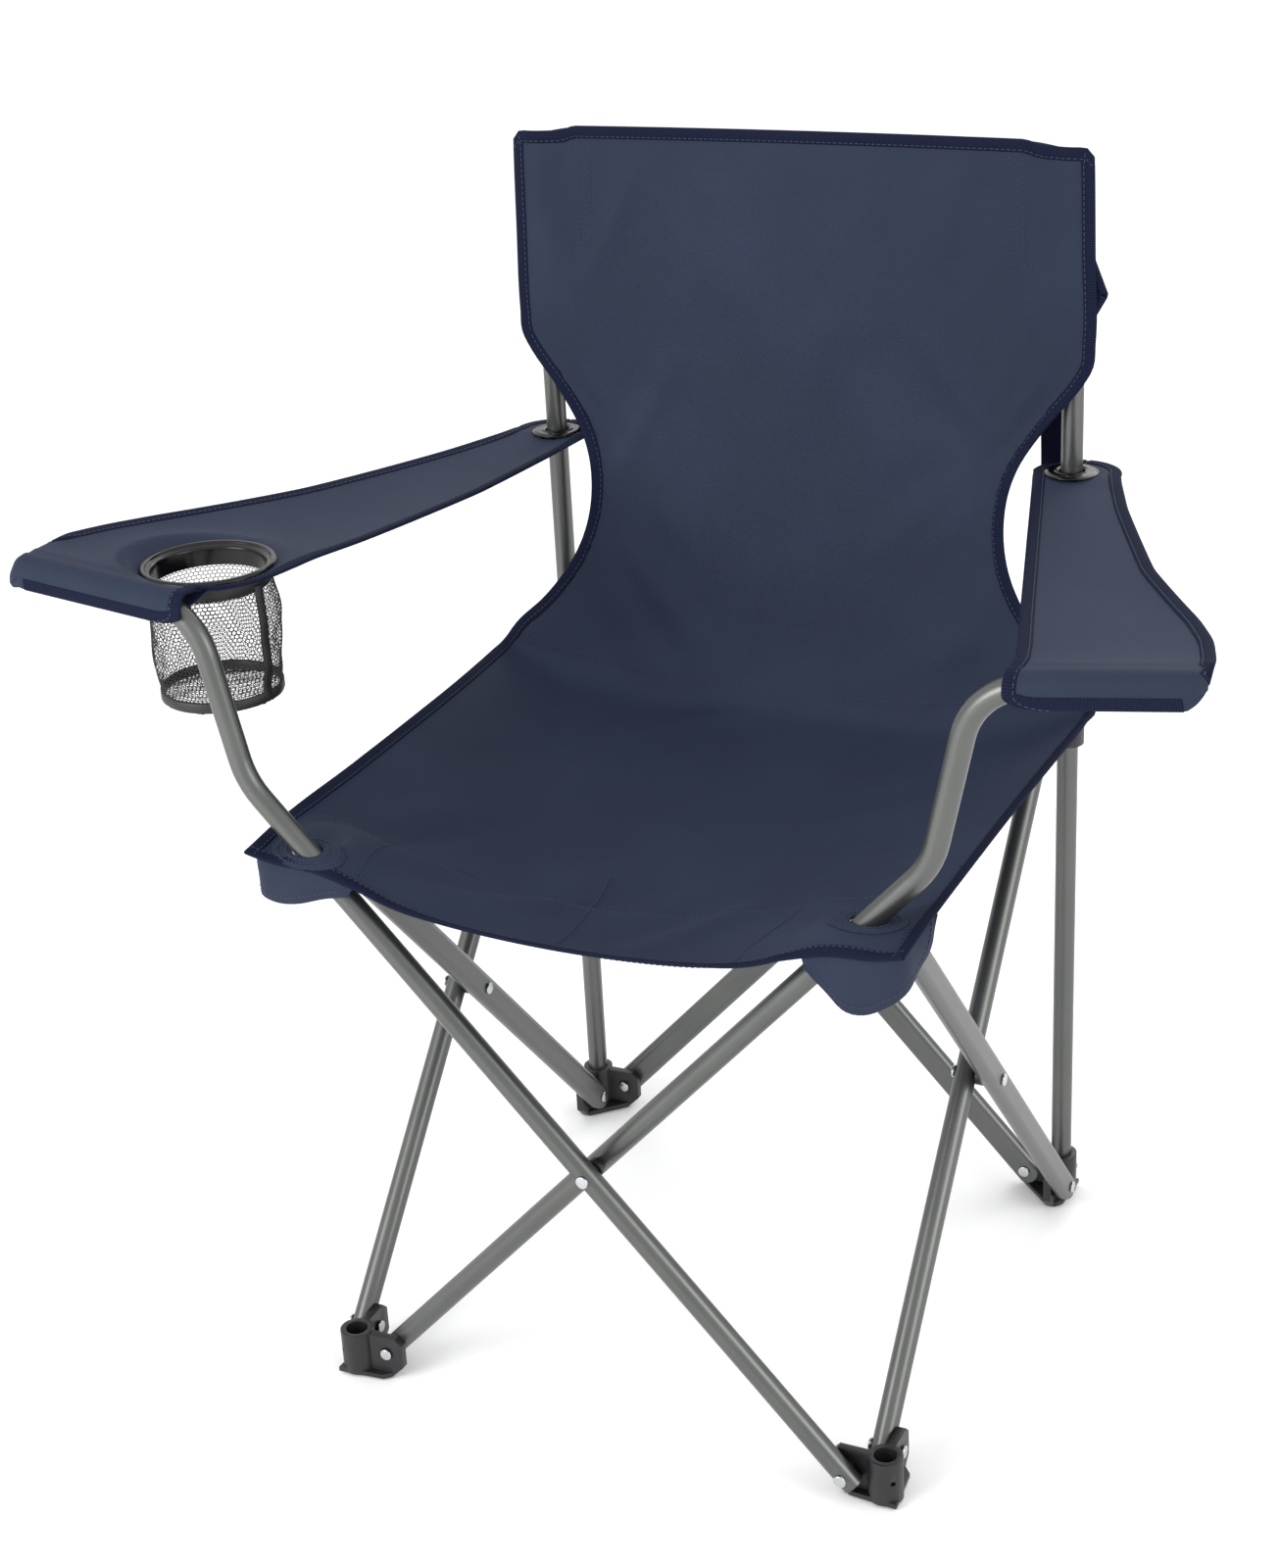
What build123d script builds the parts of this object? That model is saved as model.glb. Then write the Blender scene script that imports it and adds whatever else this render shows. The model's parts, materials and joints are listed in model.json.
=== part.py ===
"""A folding camp chair, open and standing on its four feet.

+Z is up, the chair's front faces -Y, and the origin is on the ground in the middle of the four feet.
The frame is a box of four scissors. Each scissor lies in its own upright face plane, and seen from outside
each face the tube that starts at the lower right foot is the outer one, so that the whole frame has
quarter-turn symmetry about Z. Lengths are in millimetres.
"""

import os
from math import atan2, cos, degrees, hypot, sin

from build123d import *

# ---- driving dimensions ----
CORNER = 210.0  # half the spacing of the four upright corner lines, in X and in Y
PIVOT_INSET = 26.0  # from a corner line to the pivots beside it, along the face
PIVOT_LOW = 21.0  # foot pivots above the ground
HALF_RISE = 200.0  # from a foot pivot up to its scissor's crossing, and again up to the top pivot
PIVOT_MID = PIVOT_LOW + HALF_RISE
PIVOT_TOP = PIVOT_LOW + 2 * HALF_RISE

TUBE_D = 16.0
TUBE_WALL = 1.2
OVAL_WIDE = 22.0  # flat-oval tube, across the face
OVAL_THIN = 13.0  # flat-oval tube, out of the face
TUBE_OVERRUN = 10.0  # square tube ends past their pivot

PLATE_T = 6.4  # plates of the plastic mouldings, centred on the face planes
GAP = 0.3  # between pieces that move past each other
PIN_GAP = 0.1  # round a rivet shank
RIVET_R = 3.0
RIVET_HEAD_R = 4.6
RIVET_HEAD_T = 2.0
SPACER_R = 7.0

BOSS_R = 12.5  # round boss on each corner line
BOSS_LOW = 2.0
FOOT_TOP = 36.0
SOLE_T = 5.5
SOLE_CHAMFER = 2.0
SOCKET_FLOOR = 7.5
SOCKET_GAP = 0.15
PLATE_PAST = 13.0  # foot and slider plates beyond their pivots
PLATE_CUT = 10.0  # their slanted corners
SLIDER_HALF = 22.0  # half the height of the collar that rides on an upright
SLIDER_PLATE_HALF = 16.0
SLIDER_GAP = 0.25
BRACKET_BELOW = 12.0  # bracket plate edges from its pivots
BRACKET_ABOVE = 10.0

SCREW_Z = 20.0
SCREW_R = 1.5
SCREW_HEAD_R = 3.0
SCREW_HEAD_T = 1.6
SQUARE_HOLE = 3.4

UPRIGHT_TOP = 843.0
CAP_T = 2.5
PLUG_DEPTH = 10.0

BEND_X = CORNER + 32.5  # the front tubes' lower bend
BEND_R = 60.0
ARM_BEND_X = CORNER + 60.0  # the front tubes' upper bend, under the armrests
ARM_BEND_Z = 607.0
ARM_BEND_R = 48.0
POST_END_X = ARM_BEND_X + 132.0
POST_END_Z = ARM_BEND_Z + 15.0

FABRIC_T = 3.0
SEAT_HALF_W = CORNER + 32.0
SEAT_REAR_Y = CORNER - 50.0
SEAT_EDGE_Z = PIVOT_TOP + 25.0
SEAT_SAG = 44.0  # the middle of the seat below its side edges
SEAT_SLOT_L = 46.0  # slot for the front tube in each front corner
SEAT_SLOT_W = 20.0
SEAT_AT_TUBE = 8.0  # the seat below its side edge, where the front tube comes through

TAB_X = CORNER + 6.0  # inner edge of the webbing tabs that hold the seat's rear corners
TAB_W = 20.0
TAB_T = 1.8
TAB_LAP = 10.0  # under the seat

BACK_TOP_Z = UPRIGHT_TOP + 9.0
BACK_LEAN = [  # side view, (y, z)
    (CORNER - 51.5, SEAT_EDGE_Z - 46),
    (CORNER - 50.0, SEAT_EDGE_Z),
    (CORNER - 23.0, SEAT_EDGE_Z + 194),
    (CORNER - 12.0, SEAT_EDGE_Z + 259),
]
BACK_TOP_Y = CORNER - 10.0
BACK_HALF_W = CORNER + 18.0
BACK_WAIST_W = CORNER - 43.0
BACK_WAIST_Z = SEAT_EDGE_Z + 129.0
# The backrest's right edge below the waist and above it, (x, z).
BACK_FLARE = [(CORNER + 4, SEAT_EDGE_Z + 36), (CORNER - 34, SEAT_EDGE_Z + 84)]
BACK_HIP = [(CORNER - 30, SEAT_EDGE_Z + 180), (CORNER + 5, SEAT_EDGE_Z + 218)]
BACK_HIP_Z = SEAT_EDGE_Z + 246.0  # lower hem of the upright pockets
POCKET_SEAM_X = CORNER - 27.0  # inner seam of the upright pockets
POCKET_WALL = 2.3
POCKET_GAP = 0.4

ARM_Z = 611.0  # middle of the armrest's fabric
ARM_T = 2.4
ARM_REAR_R = 32.0  # rounded rear end, about the upright
# The armrests' outer and inner edges, (x, y).
ARM_OUTER = [(CORNER + 182, -CORNER + 70), (CORNER + 125, -10), (CORNER + 60, CORNER - 70)]
ARM_INNER = [(CORNER - 5, 60), (CORNER + 30, -80), (CORNER + 62, -CORNER + 60)]
ARM_INNER_WIDE = [(CORNER - 10, 60), (CORNER + 14, -70), (CORNER + 28, -CORNER + 55)]  # beside the cup holder
ARM_TIP_X = POST_END_X + 2.0
SLEEVE_START_X = ARM_BEND_X + 30.0
SLEEVE_WALL = 1.5
GROMMET_GAP = 1.5  # round the upright that it slides on
GROMMET_BORE_R = TUBE_D / 2 + GROMMET_GAP
GROMMET_NECK_R = GROMMET_BORE_R + 6.0
GROMMET_R = GROMMET_NECK_R + 4.5
FLANGE_T = 2.4

CUP_X = -(CORNER + 90.0)
CUP_Y = -(CORNER - 55.0)
CUP_RIM_R = 48.0
CUP_HOLE_R = 40.0
CUP_NECK_T = 2.1
CUP_NECK_DEPTH = 12.0
CUP_LIP_T = 3.0
CUP_WALL = 1.5
CUP_DEPTH = 92.0  # from the armrest's fabric to the cup's floor

STRAP_X = CORNER - 20.0
STRAP_W = 20.0
STRAP_T = 1.5
STRAP_TOP_Z = BACK_HIP_Z + 14.0

SKIRT_T = 2.0  # fabric corner pocket under each front corner of the seat
SKIRT_DEPTH = 50.0
SKIRT_RUN = 66.0
SKIRT_TIP = 16.0  # from the outer edge to the lowest point
SKIRT_SIDE = 36.0  # height of the pocket at the outer edge

# ---- sizes that follow ----
RUN = CORNER - PIVOT_INSET
SLOPE = atan2(HALF_RISE, RUN)
HOLE_R = RIVET_R + PIN_GAP
ROUND_OUT = PLATE_T / 2 + GAP + TUBE_D / 2  # from the face plane to a round tube's axis
OVAL_OUT = PLATE_T / 2 + GAP + OVAL_THIN / 2
PLATE_END = PIVOT_INSET + PLATE_PAST
PLATE_EDGE = PLATE_END - PLATE_CUT
SEAT_SLOPE = SEAT_SAG / SEAT_HALF_W
SEAT_FRONT_Y = -(CORNER + ARM_REAR_R)  # overhangs the front as far as the armrests do the back
POST_RISE = (POST_END_Z - ARM_BEND_Z) / (POST_END_X - ARM_BEND_X)

FACES = {  # outward normal, and the direction that is to the right seen from outside
    "front": ((0, -1, 0), (1, 0, 0)),
    "right": ((1, 0, 0), (0, 1, 0)),
    "back": ((0, 1, 0), (-1, 0, 0)),
    "left": ((-1, 0, 0), (0, -1, 0)),
}
CORNERS = {"front_left": 0, "front_right": 90, "rear_right": 180, "rear_left": 270}

nodes = {}


def face_plane(face):
    """Plane on an upright face: local x to the right, y up, z outward, origin on the ground."""
    normal, right = FACES[face]
    origin = tuple(CORNER * n for n in normal)
    return Plane(origin=origin, x_dir=right, z_dir=normal)


def turned(shape, corner):
    """A piece made at the front left corner, turned to another corner."""
    return shape.rotate(Axis.Z, CORNERS[corner])


def disc(radius, low, high, x=0.0, y=0.0):
    """Upright cylinder between two heights."""
    return Pos(x, y, (low + high) / 2) * Cylinder(radius, high - low)


def ring(outer, inner, low, high, x=0.0, y=0.0):
    return disc(outer, low, high, x, y) - disc(inner, low - 1, high + 1, x, y)


def drilled(shape, spots, out):
    """Rivet holes through a tube whose axis stands out of the face plane by out."""
    for s, z in spots:
        shape -= Pos(s, z, out) * Cylinder(HOLE_R, 2 * OVAL_WIDE)
    return shape


def straight_tube(side, out, oval):
    """Tube of a scissor in face coordinates, from the foot on one side to the opposite top corner.

    side is 1 for the lower right foot and -1 for the lower left one.
    """
    overrun = OVAL_WIDE / 2 if oval else TUBE_OVERRUN
    length = 2 * hypot(RUN, HALF_RISE) + 2 * overrun
    along = Vector(-side * cos(SLOPE), sin(SLOPE), 0)
    across = Vector(-along.Y, along.X, 0)
    middle = Vector(0, PIVOT_MID, out)
    start = Plane(origin=middle - along * (length / 2), x_dir=across, z_dir=along)
    if oval:
        skin = extrude(start * SlotOverall(OVAL_WIDE, OVAL_THIN), amount=length)
        bore = SlotOverall(OVAL_WIDE - 2 * TUBE_WALL, OVAL_THIN - 2 * TUBE_WALL)
        tube = skin - extrude(start * bore, amount=length)
        flat = Plane(origin=(0, PIVOT_MID, out - OVAL_THIN), x_dir=along, z_dir=(0, 0, 1))
        tube &= extrude(flat * SlotOverall(length, OVAL_WIDE), amount=2 * OVAL_THIN)
    else:
        tube = extrude(start * Circle(TUBE_D / 2), amount=length)
        tube -= extrude(start * Circle(TUBE_D / 2 - TUBE_WALL), amount=length)
    spots = [(side * RUN, PIVOT_LOW), (0, PIVOT_MID), (-side * RUN, PIVOT_TOP)]
    return drilled(tube, spots, out)


def front_tube(side, out):
    """Bent front tube: foot, crossing, seat corner, two bends and the arm post, in face coordinates."""
    start = (side * (RUN + TUBE_OVERRUN * cos(SLOPE)), PIVOT_LOW - TUBE_OVERRUN * sin(SLOPE))
    bend_z = PIVOT_LOW + (BEND_X + RUN) * HALF_RISE / RUN
    bends = [(-side * BEND_X, bend_z), (-side * ARM_BEND_X, ARM_BEND_Z)]
    path = FilletPolyline(start, *bends, (-side * POST_END_X, POST_END_Z), radius=[BEND_R, ARM_BEND_R])
    wire = Pos(0, 0, out) * path
    along = Vector(-side * cos(SLOPE), sin(SLOPE), 0)
    end = Plane(origin=(start[0], start[1], out), x_dir=(0, 0, 1), z_dir=along)
    tube = sweep(end * Circle(TUBE_D / 2), path=wire)
    tube -= sweep(end * Circle(TUBE_D / 2 - TUBE_WALL), path=wire)
    spots = [(side * RUN, PIVOT_LOW), (0, PIVOT_MID), (-side * RUN, PIVOT_TOP)]
    return drilled(tube, spots, out)


def rivet(s, z, low, high):
    """Rivet along a face's normal, between the two surfaces that its heads sit on."""
    shank = Pos(s, z, (low + high) / 2) * Cylinder(RIVET_R, high - low)
    for level, way in ((low, -1), (high, 1)):
        shank += Pos(s, z, level + way * RIVET_HEAD_T / 2) * Cylinder(RIVET_HEAD_R, RIVET_HEAD_T)
    return shank


def scissor(face, outer_name, inner_name, outer_kind, inner_kind):
    """The two crossed tubes of one face, with their rivets and the spacer between them."""
    plane = face_plane(face)
    depth = {"round": TUBE_D, "bent": TUBE_D, "oval": OVAL_THIN}
    offset = {"round": ROUND_OUT, "bent": ROUND_OUT, "oval": OVAL_OUT}
    for name, kind, side in ((outer_name, outer_kind, 1), (inner_name, inner_kind, -1)):
        out = side * offset[kind]
        tube = front_tube(side, out) if kind == "bent" else straight_tube(side, out, kind == "oval")
        nodes[name] = plane * tube
        far = side * (offset[kind] + depth[kind] / 2)
        near = -side * (PLATE_T / 2 + GAP)
        low, high = sorted((far, near))
        pins = rivet(side * RUN, PIVOT_LOW, low, high) + rivet(-side * RUN, PIVOT_TOP, low, high)
        if side == 1:
            pins += rivet(0, PIVOT_MID, -(offset[inner_kind] + depth[inner_kind] / 2), far)
        nodes[name + "_rivets"] = plane * pins
    washer = Cylinder(SPACER_R, PLATE_T) - Cylinder(HOLE_R, 2 * PLATE_T)
    nodes[face + "_spacer"] = plane * Pos(0, PIVOT_MID, 0) * washer


def corner_plates(outline, thickness=PLATE_T):
    """The two plates of a moulding at the front left corner, one along X and one along Y.

    outline is in (distance inward from the corner line, height), the same on both plates.
    """
    along_x = Plane(origin=(-CORNER, -CORNER, 0), x_dir=(1, 0, 0), z_dir=(0, -1, 0))
    along_y = Plane(origin=(-CORNER, -CORNER, 0), x_dir=(0, 1, 0), z_dir=(1, 0, 0))
    shape = None
    for plane in (along_x, along_y):
        plate = extrude(plane * make_face(Polyline(*outline, close=True)), amount=thickness / 2, both=True)
        shape = plate if shape is None else shape + plate
    return shape, (along_x, along_y)


def pin_holes(shape, planes, height):
    for plane in planes:
        shape -= plane * (Pos(PIVOT_INSET, height, 0) * Cylinder(HOLE_R, 4 * PLATE_T))
    return shape


def screw_plane():
    """Plane through the front left corner line at the screw's height, facing out from the chair."""
    return Plane(origin=(-CORNER, -CORNER, SCREW_Z), x_dir=(0, 0, 1), z_dir=(-1, -1, 0))


def foot():
    """Foot moulding at the front left: a faceted sole, two plates and an open upright socket."""
    low, high = 1.0, FOOT_TOP - 1.0
    plate = [(0, low), (PLATE_EDGE, low), (PLATE_END, low + PLATE_CUT)]
    plate += [(PLATE_END, high - PLATE_CUT / 2), (PLATE_END - PLATE_CUT / 2, high), (0, high)]
    shape, planes = corner_plates(plate)
    plan = [(-12, -12), (24, -9), (30, -4), (30, 4), (4, 30), (-4, 30), (-9, 24)]
    sole = extrude(Pos(-CORNER, -CORNER, 0) * make_face(Polyline(*plan, close=True)), amount=SOLE_T)
    sole = chamfer(sole.edges().group_by(Axis.Z)[0], SOLE_CHAMFER)
    shape += sole + disc(BOSS_R, BOSS_LOW, FOOT_TOP, -CORNER, -CORNER)
    shape -= disc(TUBE_D / 2 + SOCKET_GAP, SOCKET_FLOOR, FOOT_TOP + 1, -CORNER, -CORNER)
    shape -= extrude(screw_plane() * Rectangle(SQUARE_HOLE, SQUARE_HOLE), amount=BOSS_R + 1)
    return pin_holes(shape, planes, PIVOT_LOW)


def upright():
    tube = ring(TUBE_D / 2, TUBE_D / 2 - TUBE_WALL, SOCKET_FLOOR + GAP, UPRIGHT_TOP, -CORNER, -CORNER)
    return tube - extrude(screw_plane() * Circle(SCREW_R + PIN_GAP), amount=TUBE_D)


def upright_screw():
    """Screw through the boss's small square hole into the upright."""
    tip = TUBE_D / 2 - TUBE_WALL - 1.0
    head = BOSS_R + PIN_GAP
    shank = extrude(screw_plane().offset(tip) * Circle(SCREW_R), amount=head - tip + SCREW_HEAD_T / 2)
    return shank + extrude(screw_plane().offset(head) * Circle(SCREW_HEAD_R), amount=SCREW_HEAD_T)


def plug(radius, inner, at, way):
    """Plastic end plug: a flange of the tube's radius and a spigot inside it."""
    plane = Plane(origin=at, z_dir=way)
    flange = extrude(plane * Circle(radius), amount=CAP_T)
    return flange + extrude(plane * Circle(inner - PIN_GAP), amount=-PLUG_DEPTH)


def slider():
    """Collar on an upright, with the two plates that carry the tops of its scissor tubes."""
    low, high = PIVOT_TOP - SLIDER_HALF, PIVOT_TOP + SLIDER_HALF
    under, over = PIVOT_TOP - SLIDER_PLATE_HALF, PIVOT_TOP + SLIDER_PLATE_HALF
    plate = [(0, under), (PLATE_EDGE, under), (PLATE_END, under + PLATE_CUT)]
    plate += [(PLATE_END, over - PLATE_CUT), (PLATE_EDGE, over), (0, over)]
    shape, planes = corner_plates(plate)
    shape += disc(BOSS_R, low, high, -CORNER, -CORNER)
    shape -= disc(TUBE_D / 2 + SLIDER_GAP, low - 1, high + 1, -CORNER, -CORNER)
    return pin_holes(shape, planes, PIVOT_TOP)


def bracket():
    """Angle moulding that joins a front tube to the top of a side tube, under the seat's corner."""
    low, high = PIVOT_TOP - BRACKET_BELOW, PIVOT_TOP + BRACKET_ABOVE
    back = -PLATE_T / 2
    plate = [(back, low), (PLATE_EDGE, low), (PLATE_END, low + PLATE_CUT)]
    plate += [(PLATE_END, high - PLATE_CUT), (PLATE_EDGE - PLATE_CUT, high), (back, high)]
    shape, planes = corner_plates(plate)
    return pin_holes(shape, planes, PIVOT_TOP)


def seat_half(side):
    """One half of the seat, from its side edge down to the sagging middle. side is 1 for +X."""
    seam, edge = side * GAP / 2, side * SEAT_HALF_W
    seam_z = SEAT_EDGE_Z - SEAT_SAG
    profile = [(edge, SEAT_EDGE_Z), (seam, seam_z), (seam, seam_z - FABRIC_T), (edge, SEAT_EDGE_Z - FABRIC_T)]
    plane = Plane(origin=(0, SEAT_FRONT_Y, 0), x_dir=(1, 0, 0), z_dir=(0, -1, 0))
    panel = extrude(plane * make_face(Polyline(*profile, close=True)), amount=SEAT_FRONT_Y - SEAT_REAR_Y)
    tube_y = -CORNER + side * ROUND_OUT
    tube_x = side * (RUN + (SEAT_EDGE_Z - SEAT_AT_TUBE - PIVOT_TOP) * RUN / HALF_RISE)
    slot = Pos(tube_x, tube_y, SEAT_EDGE_Z - SEAT_SAG) * SlotOverall(SEAT_SLOT_L, SEAT_SLOT_W)
    slot = extrude(slot, amount=2 * SEAT_SAG)
    return panel - slot


def rear_tab(side):
    """Webbing tab from under the seat's rear corner back to the slider's boss."""
    top = SEAT_EDGE_Z - FABRIC_T - (SEAT_HALF_W - TAB_X) * SEAT_SLOPE - GAP
    start = SEAT_REAR_Y - TAB_LAP
    end = CORNER - (BOSS_R**2 - (TAB_X - CORNER) ** 2) ** 0.5 - GAP
    middle = Pos(side * (TAB_X + TAB_W / 2), (start + end) / 2, top - TAB_T / 2)
    return middle * Box(TAB_W, end - start, TAB_T)


def back_sheet(half_width):
    """Leaning sheet that the backrest's front is cut from."""
    line = BACK_LEAN + [(BACK_TOP_Y, BACK_TOP_Z)]
    half = FABRIC_T / 2
    side_view = [(y - half, z) for y, z in line] + [(y + half, z) for y, z in reversed(line)]
    plane = Plane(origin=(half_width, 0, 0), x_dir=(0, 1, 0), z_dir=(1, 0, 0))
    return extrude(plane * make_face(Polyline(*side_view, close=True)), amount=-2 * half_width)


def back_panel():
    """Backrest between the two upright pockets, with its waist and the flare down to the seat."""
    seam = POCKET_SEAM_X - GAP
    hem = BACK_HIP_Z - GAP
    right = [(SEAT_HALF_W, SEAT_EDGE_Z + GAP)] + BACK_FLARE + [(BACK_WAIST_W, BACK_WAIST_Z)]
    right += BACK_HIP + [(BACK_HALF_W, hem), (seam, hem), (seam, BACK_TOP_Z)]
    outline = [(0, SEAT_EDGE_Z - SEAT_SAG + GAP)] + right + [(-x, z) for x, z in reversed(right)]
    plane = Plane(origin=(0, 0, 0), x_dir=(1, 0, 0), z_dir=(0, -1, 0))
    cutter = extrude(plane * make_face(Polyline(*outline, close=True)), amount=-2 * CORNER)
    return back_sheet(SEAT_HALF_W + 10) & cutter


def back_pocket(side):
    """Sewn sleeve over the top of an upright: flat front sheet, round sleeve behind it, closed top."""
    x = side * CORNER
    outer = TUBE_D / 2 + POCKET_GAP + POCKET_WALL
    width = BACK_HALF_W - POCKET_SEAM_X
    sheet = Pos(side * (POCKET_SEAM_X + width / 2), BACK_TOP_Y, (BACK_HIP_Z + BACK_TOP_Z) / 2)
    shape = sheet * Box(width, FABRIC_T, BACK_TOP_Z - BACK_HIP_Z)
    shape += disc(outer, BACK_HIP_Z, BACK_TOP_Z, x, CORNER)
    return shape - disc(TUBE_D / 2 + POCKET_GAP, BACK_HIP_Z - 1, UPRIGHT_TOP + CAP_T + GAP, x, CORNER)


def arm_panel(side, holder):
    """Armrest fabric from behind the arm post to round the upright, with its cup hole if it has one."""
    front = -CORNER + side * ROUND_OUT + TUBE_D / 2 + GAP + SLEEVE_WALL + GAP
    outer = [(SLEEVE_START_X, front), (ARM_TIP_X, front)] + ARM_OUTER + [(CORNER + ARM_REAR_R, CORNER)]
    inner = [(CORNER - ARM_REAR_R, CORNER)] + (ARM_INNER_WIDE if holder else ARM_INNER)
    sheet = make_face(Polyline(*[(side * x, y) for x, y in outer + inner], close=True))
    low = ARM_Z - ARM_T / 2
    shape = extrude(Pos(0, 0, low) * sheet, amount=ARM_T)
    shape += disc(ARM_REAR_R, low, low + ARM_T, side * CORNER, CORNER)
    shape -= disc(GROMMET_NECK_R + GAP, low - 1, low + ARM_T + 1, side * CORNER, CORNER)
    if holder:
        shape -= disc(CUP_HOLE_R + CUP_NECK_T + GAP, low - 1, low + ARM_T + 1, CUP_X, CUP_Y)
    return shape


def arm_grommet(side):
    """Two-flanged ring that slides on the upright and grips the armrest's rear end."""
    x, half = side * CORNER, ARM_T / 2 + GAP
    shape = ring(GROMMET_NECK_R, GROMMET_BORE_R, ARM_Z - half - FLANGE_T, ARM_Z + half + FLANGE_T, x, CORNER)
    for low in (ARM_Z - half - FLANGE_T, ARM_Z + half):
        shape += ring(GROMMET_R, GROMMET_BORE_R, low, low + FLANGE_T, x, CORNER)
    return shape


def arm_sleeve(side):
    """Sewn sleeve at the armrest's front, closed over the end of the arm post."""
    height = ARM_BEND_Z + POST_RISE * (SLEEVE_START_X - ARM_BEND_X)
    at = (side * SLEEVE_START_X, -CORNER + side * ROUND_OUT, height)
    plane = Plane(origin=at, z_dir=(side, 0, POST_RISE))
    length = (POST_END_X - SLEEVE_START_X) * hypot(1, POST_RISE) + CAP_T
    inner = TUBE_D / 2 + GAP
    shape = extrude(plane * Circle(inner + SLEEVE_WALL), amount=length + GAP + SLEEVE_WALL)
    return shape - extrude(plane * Circle(inner), amount=length + GAP)


def post_plug(side):
    at = (side * POST_END_X, -CORNER + side * ROUND_OUT, POST_END_Z)
    return plug(TUBE_D / 2, TUBE_D / 2 - TUBE_WALL, at, (side, 0, POST_RISE))


def cup_ring():
    """Rim of the cup holder: a flange on top of the fabric and a neck through it."""
    top = ARM_Z + ARM_T / 2 + GAP
    shape = ring(CUP_RIM_R, CUP_HOLE_R, top, top + CUP_LIP_T, CUP_X, CUP_Y)
    return shape + ring(CUP_HOLE_R + CUP_NECK_T, CUP_HOLE_R, ARM_Z - CUP_NECK_DEPTH, top, CUP_X, CUP_Y)


def mesh_cup():
    """Mesh cup sewn under the rim, open at the top."""
    top = ARM_Z - ARM_T / 2 - GAP
    outer = CUP_HOLE_R + CUP_NECK_T + GAP + CUP_WALL
    wall = ring(outer, outer - CUP_WALL, ARM_Z - CUP_DEPTH, top, CUP_X, CUP_Y)
    return wall + disc(outer, ARM_Z - CUP_DEPTH - CUP_WALL, ARM_Z - CUP_DEPTH, CUP_X, CUP_Y)


def arm_strap(side):
    """Webbing from the armrest's rear end up to the back of the backrest's pocket."""
    low = (CORNER + ARM_REAR_R - 9.0, ARM_Z + ARM_T / 2 + GAP)
    high = (CORNER + TUBE_D / 2 + POCKET_GAP + POCKET_WALL + GAP + STRAP_T / 2, STRAP_TOP_Z)
    half = STRAP_T / 2
    outline = [(low[0] - half, low[1]), (low[0] + half, low[1])]
    outline += [(high[0] + half, high[1]), (high[0] - half, high[1])]
    plane = Plane(origin=(side * STRAP_X + STRAP_W / 2, 0, 0), x_dir=(0, 1, 0), z_dir=(1, 0, 0))
    return extrude(plane * make_face(Polyline(*outline, close=True)), amount=-STRAP_W)


def corner_skirt(side):
    """Fabric pocket that hangs from the seat's front corner round the bracket, open behind and inside."""
    under = SEAT_EDGE_Z - FABRIC_T - GAP
    low = under - SKIRT_DEPTH
    side_low = under - SKIRT_SIDE
    x_out = SEAT_HALF_W
    front = [(x_out, under), (x_out, side_low), (x_out - SKIRT_TIP, low)]
    front += [(x_out - SKIRT_RUN, under - SKIRT_RUN * SEAT_SLOPE)]
    plane = Plane(origin=(0, SEAT_FRONT_Y, 0), x_dir=(1, 0, 0), z_dir=(0, -1, 0))
    sheet = make_face(Polyline(*[(side * x, z) for x, z in front], close=True))
    shape = extrude(plane * sheet, amount=-SKIRT_T)
    y = SEAT_FRONT_Y
    top = under - SKIRT_T * SEAT_SLOPE
    flank = [(y, top), (y, side_low), (y + SKIRT_TIP, side_low), (y + SKIRT_RUN, top)]
    plane = Plane(origin=(side * x_out, 0, 0), x_dir=(0, 1, 0), z_dir=(1, 0, 0))
    return shape + extrude(plane * make_face(Polyline(*flank, close=True)), amount=-side * SKIRT_T)


def build():
    scissor("front", "front_left_tube", "front_right_tube", "bent", "bent")
    scissor("right", "right_wide_tube", "right_thin_tube", "oval", "round")
    scissor("back", "back_outer_tube", "back_inner_tube", "oval", "oval")
    scissor("left", "left_thin_tube", "left_wide_tube", "round", "oval")
    for corner in CORNERS:
        nodes[corner + "_foot"] = turned(foot(), corner)
    for corner in ("rear_left", "rear_right"):
        nodes[corner + "_upright"] = turned(upright(), corner)
        nodes[corner + "_upright_screw"] = turned(upright_screw(), corner)
        cap = plug(TUBE_D / 2, TUBE_D / 2 - TUBE_WALL, (-CORNER, -CORNER, UPRIGHT_TOP), (0, 0, 1))
        nodes[corner + "_upright_cap"] = turned(cap, corner)
        nodes[corner + "_slider"] = turned(slider(), corner)
    for corner in ("front_left", "front_right"):
        nodes[corner + "_bracket"] = turned(bracket(), corner)
    for name, side in (("left", -1), ("right", 1)):
        nodes["seat_" + name] = seat_half(side)
        nodes["seat_corner_pocket_" + name] = corner_skirt(side)
        nodes["seat_rear_tab_" + name] = rear_tab(side)
        nodes["back_pocket_" + name] = back_pocket(side)
        nodes["armrest_" + name] = arm_panel(side, name == "left")
        nodes["arm_sleeve_" + name] = arm_sleeve(side)
        nodes["arm_post_cap_" + name] = post_plug(side)
        nodes["arm_grommet_" + name] = arm_grommet(side)
        nodes["arm_strap_" + name] = arm_strap(side)
    nodes["back_panel"] = back_panel()
    nodes["cup_ring"] = cup_ring()
    nodes["mesh_cup"] = mesh_cup()


build()
os.makedirs("parts", exist_ok=True)
for name, shape in nodes.items():
    export_step(shape, f"parts/{name}.step")
print(len(nodes), "nodes, scissor slope", round(degrees(SLOPE), 2), "degrees")
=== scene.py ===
# Folding camp chair: soft goods, hardware finishes, stage and camera.
import json
import math

import bmesh
import bpy
import numpy as np
from mathutils import Matrix, Vector
from mathutils.bvhtree import BVHTree


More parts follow.
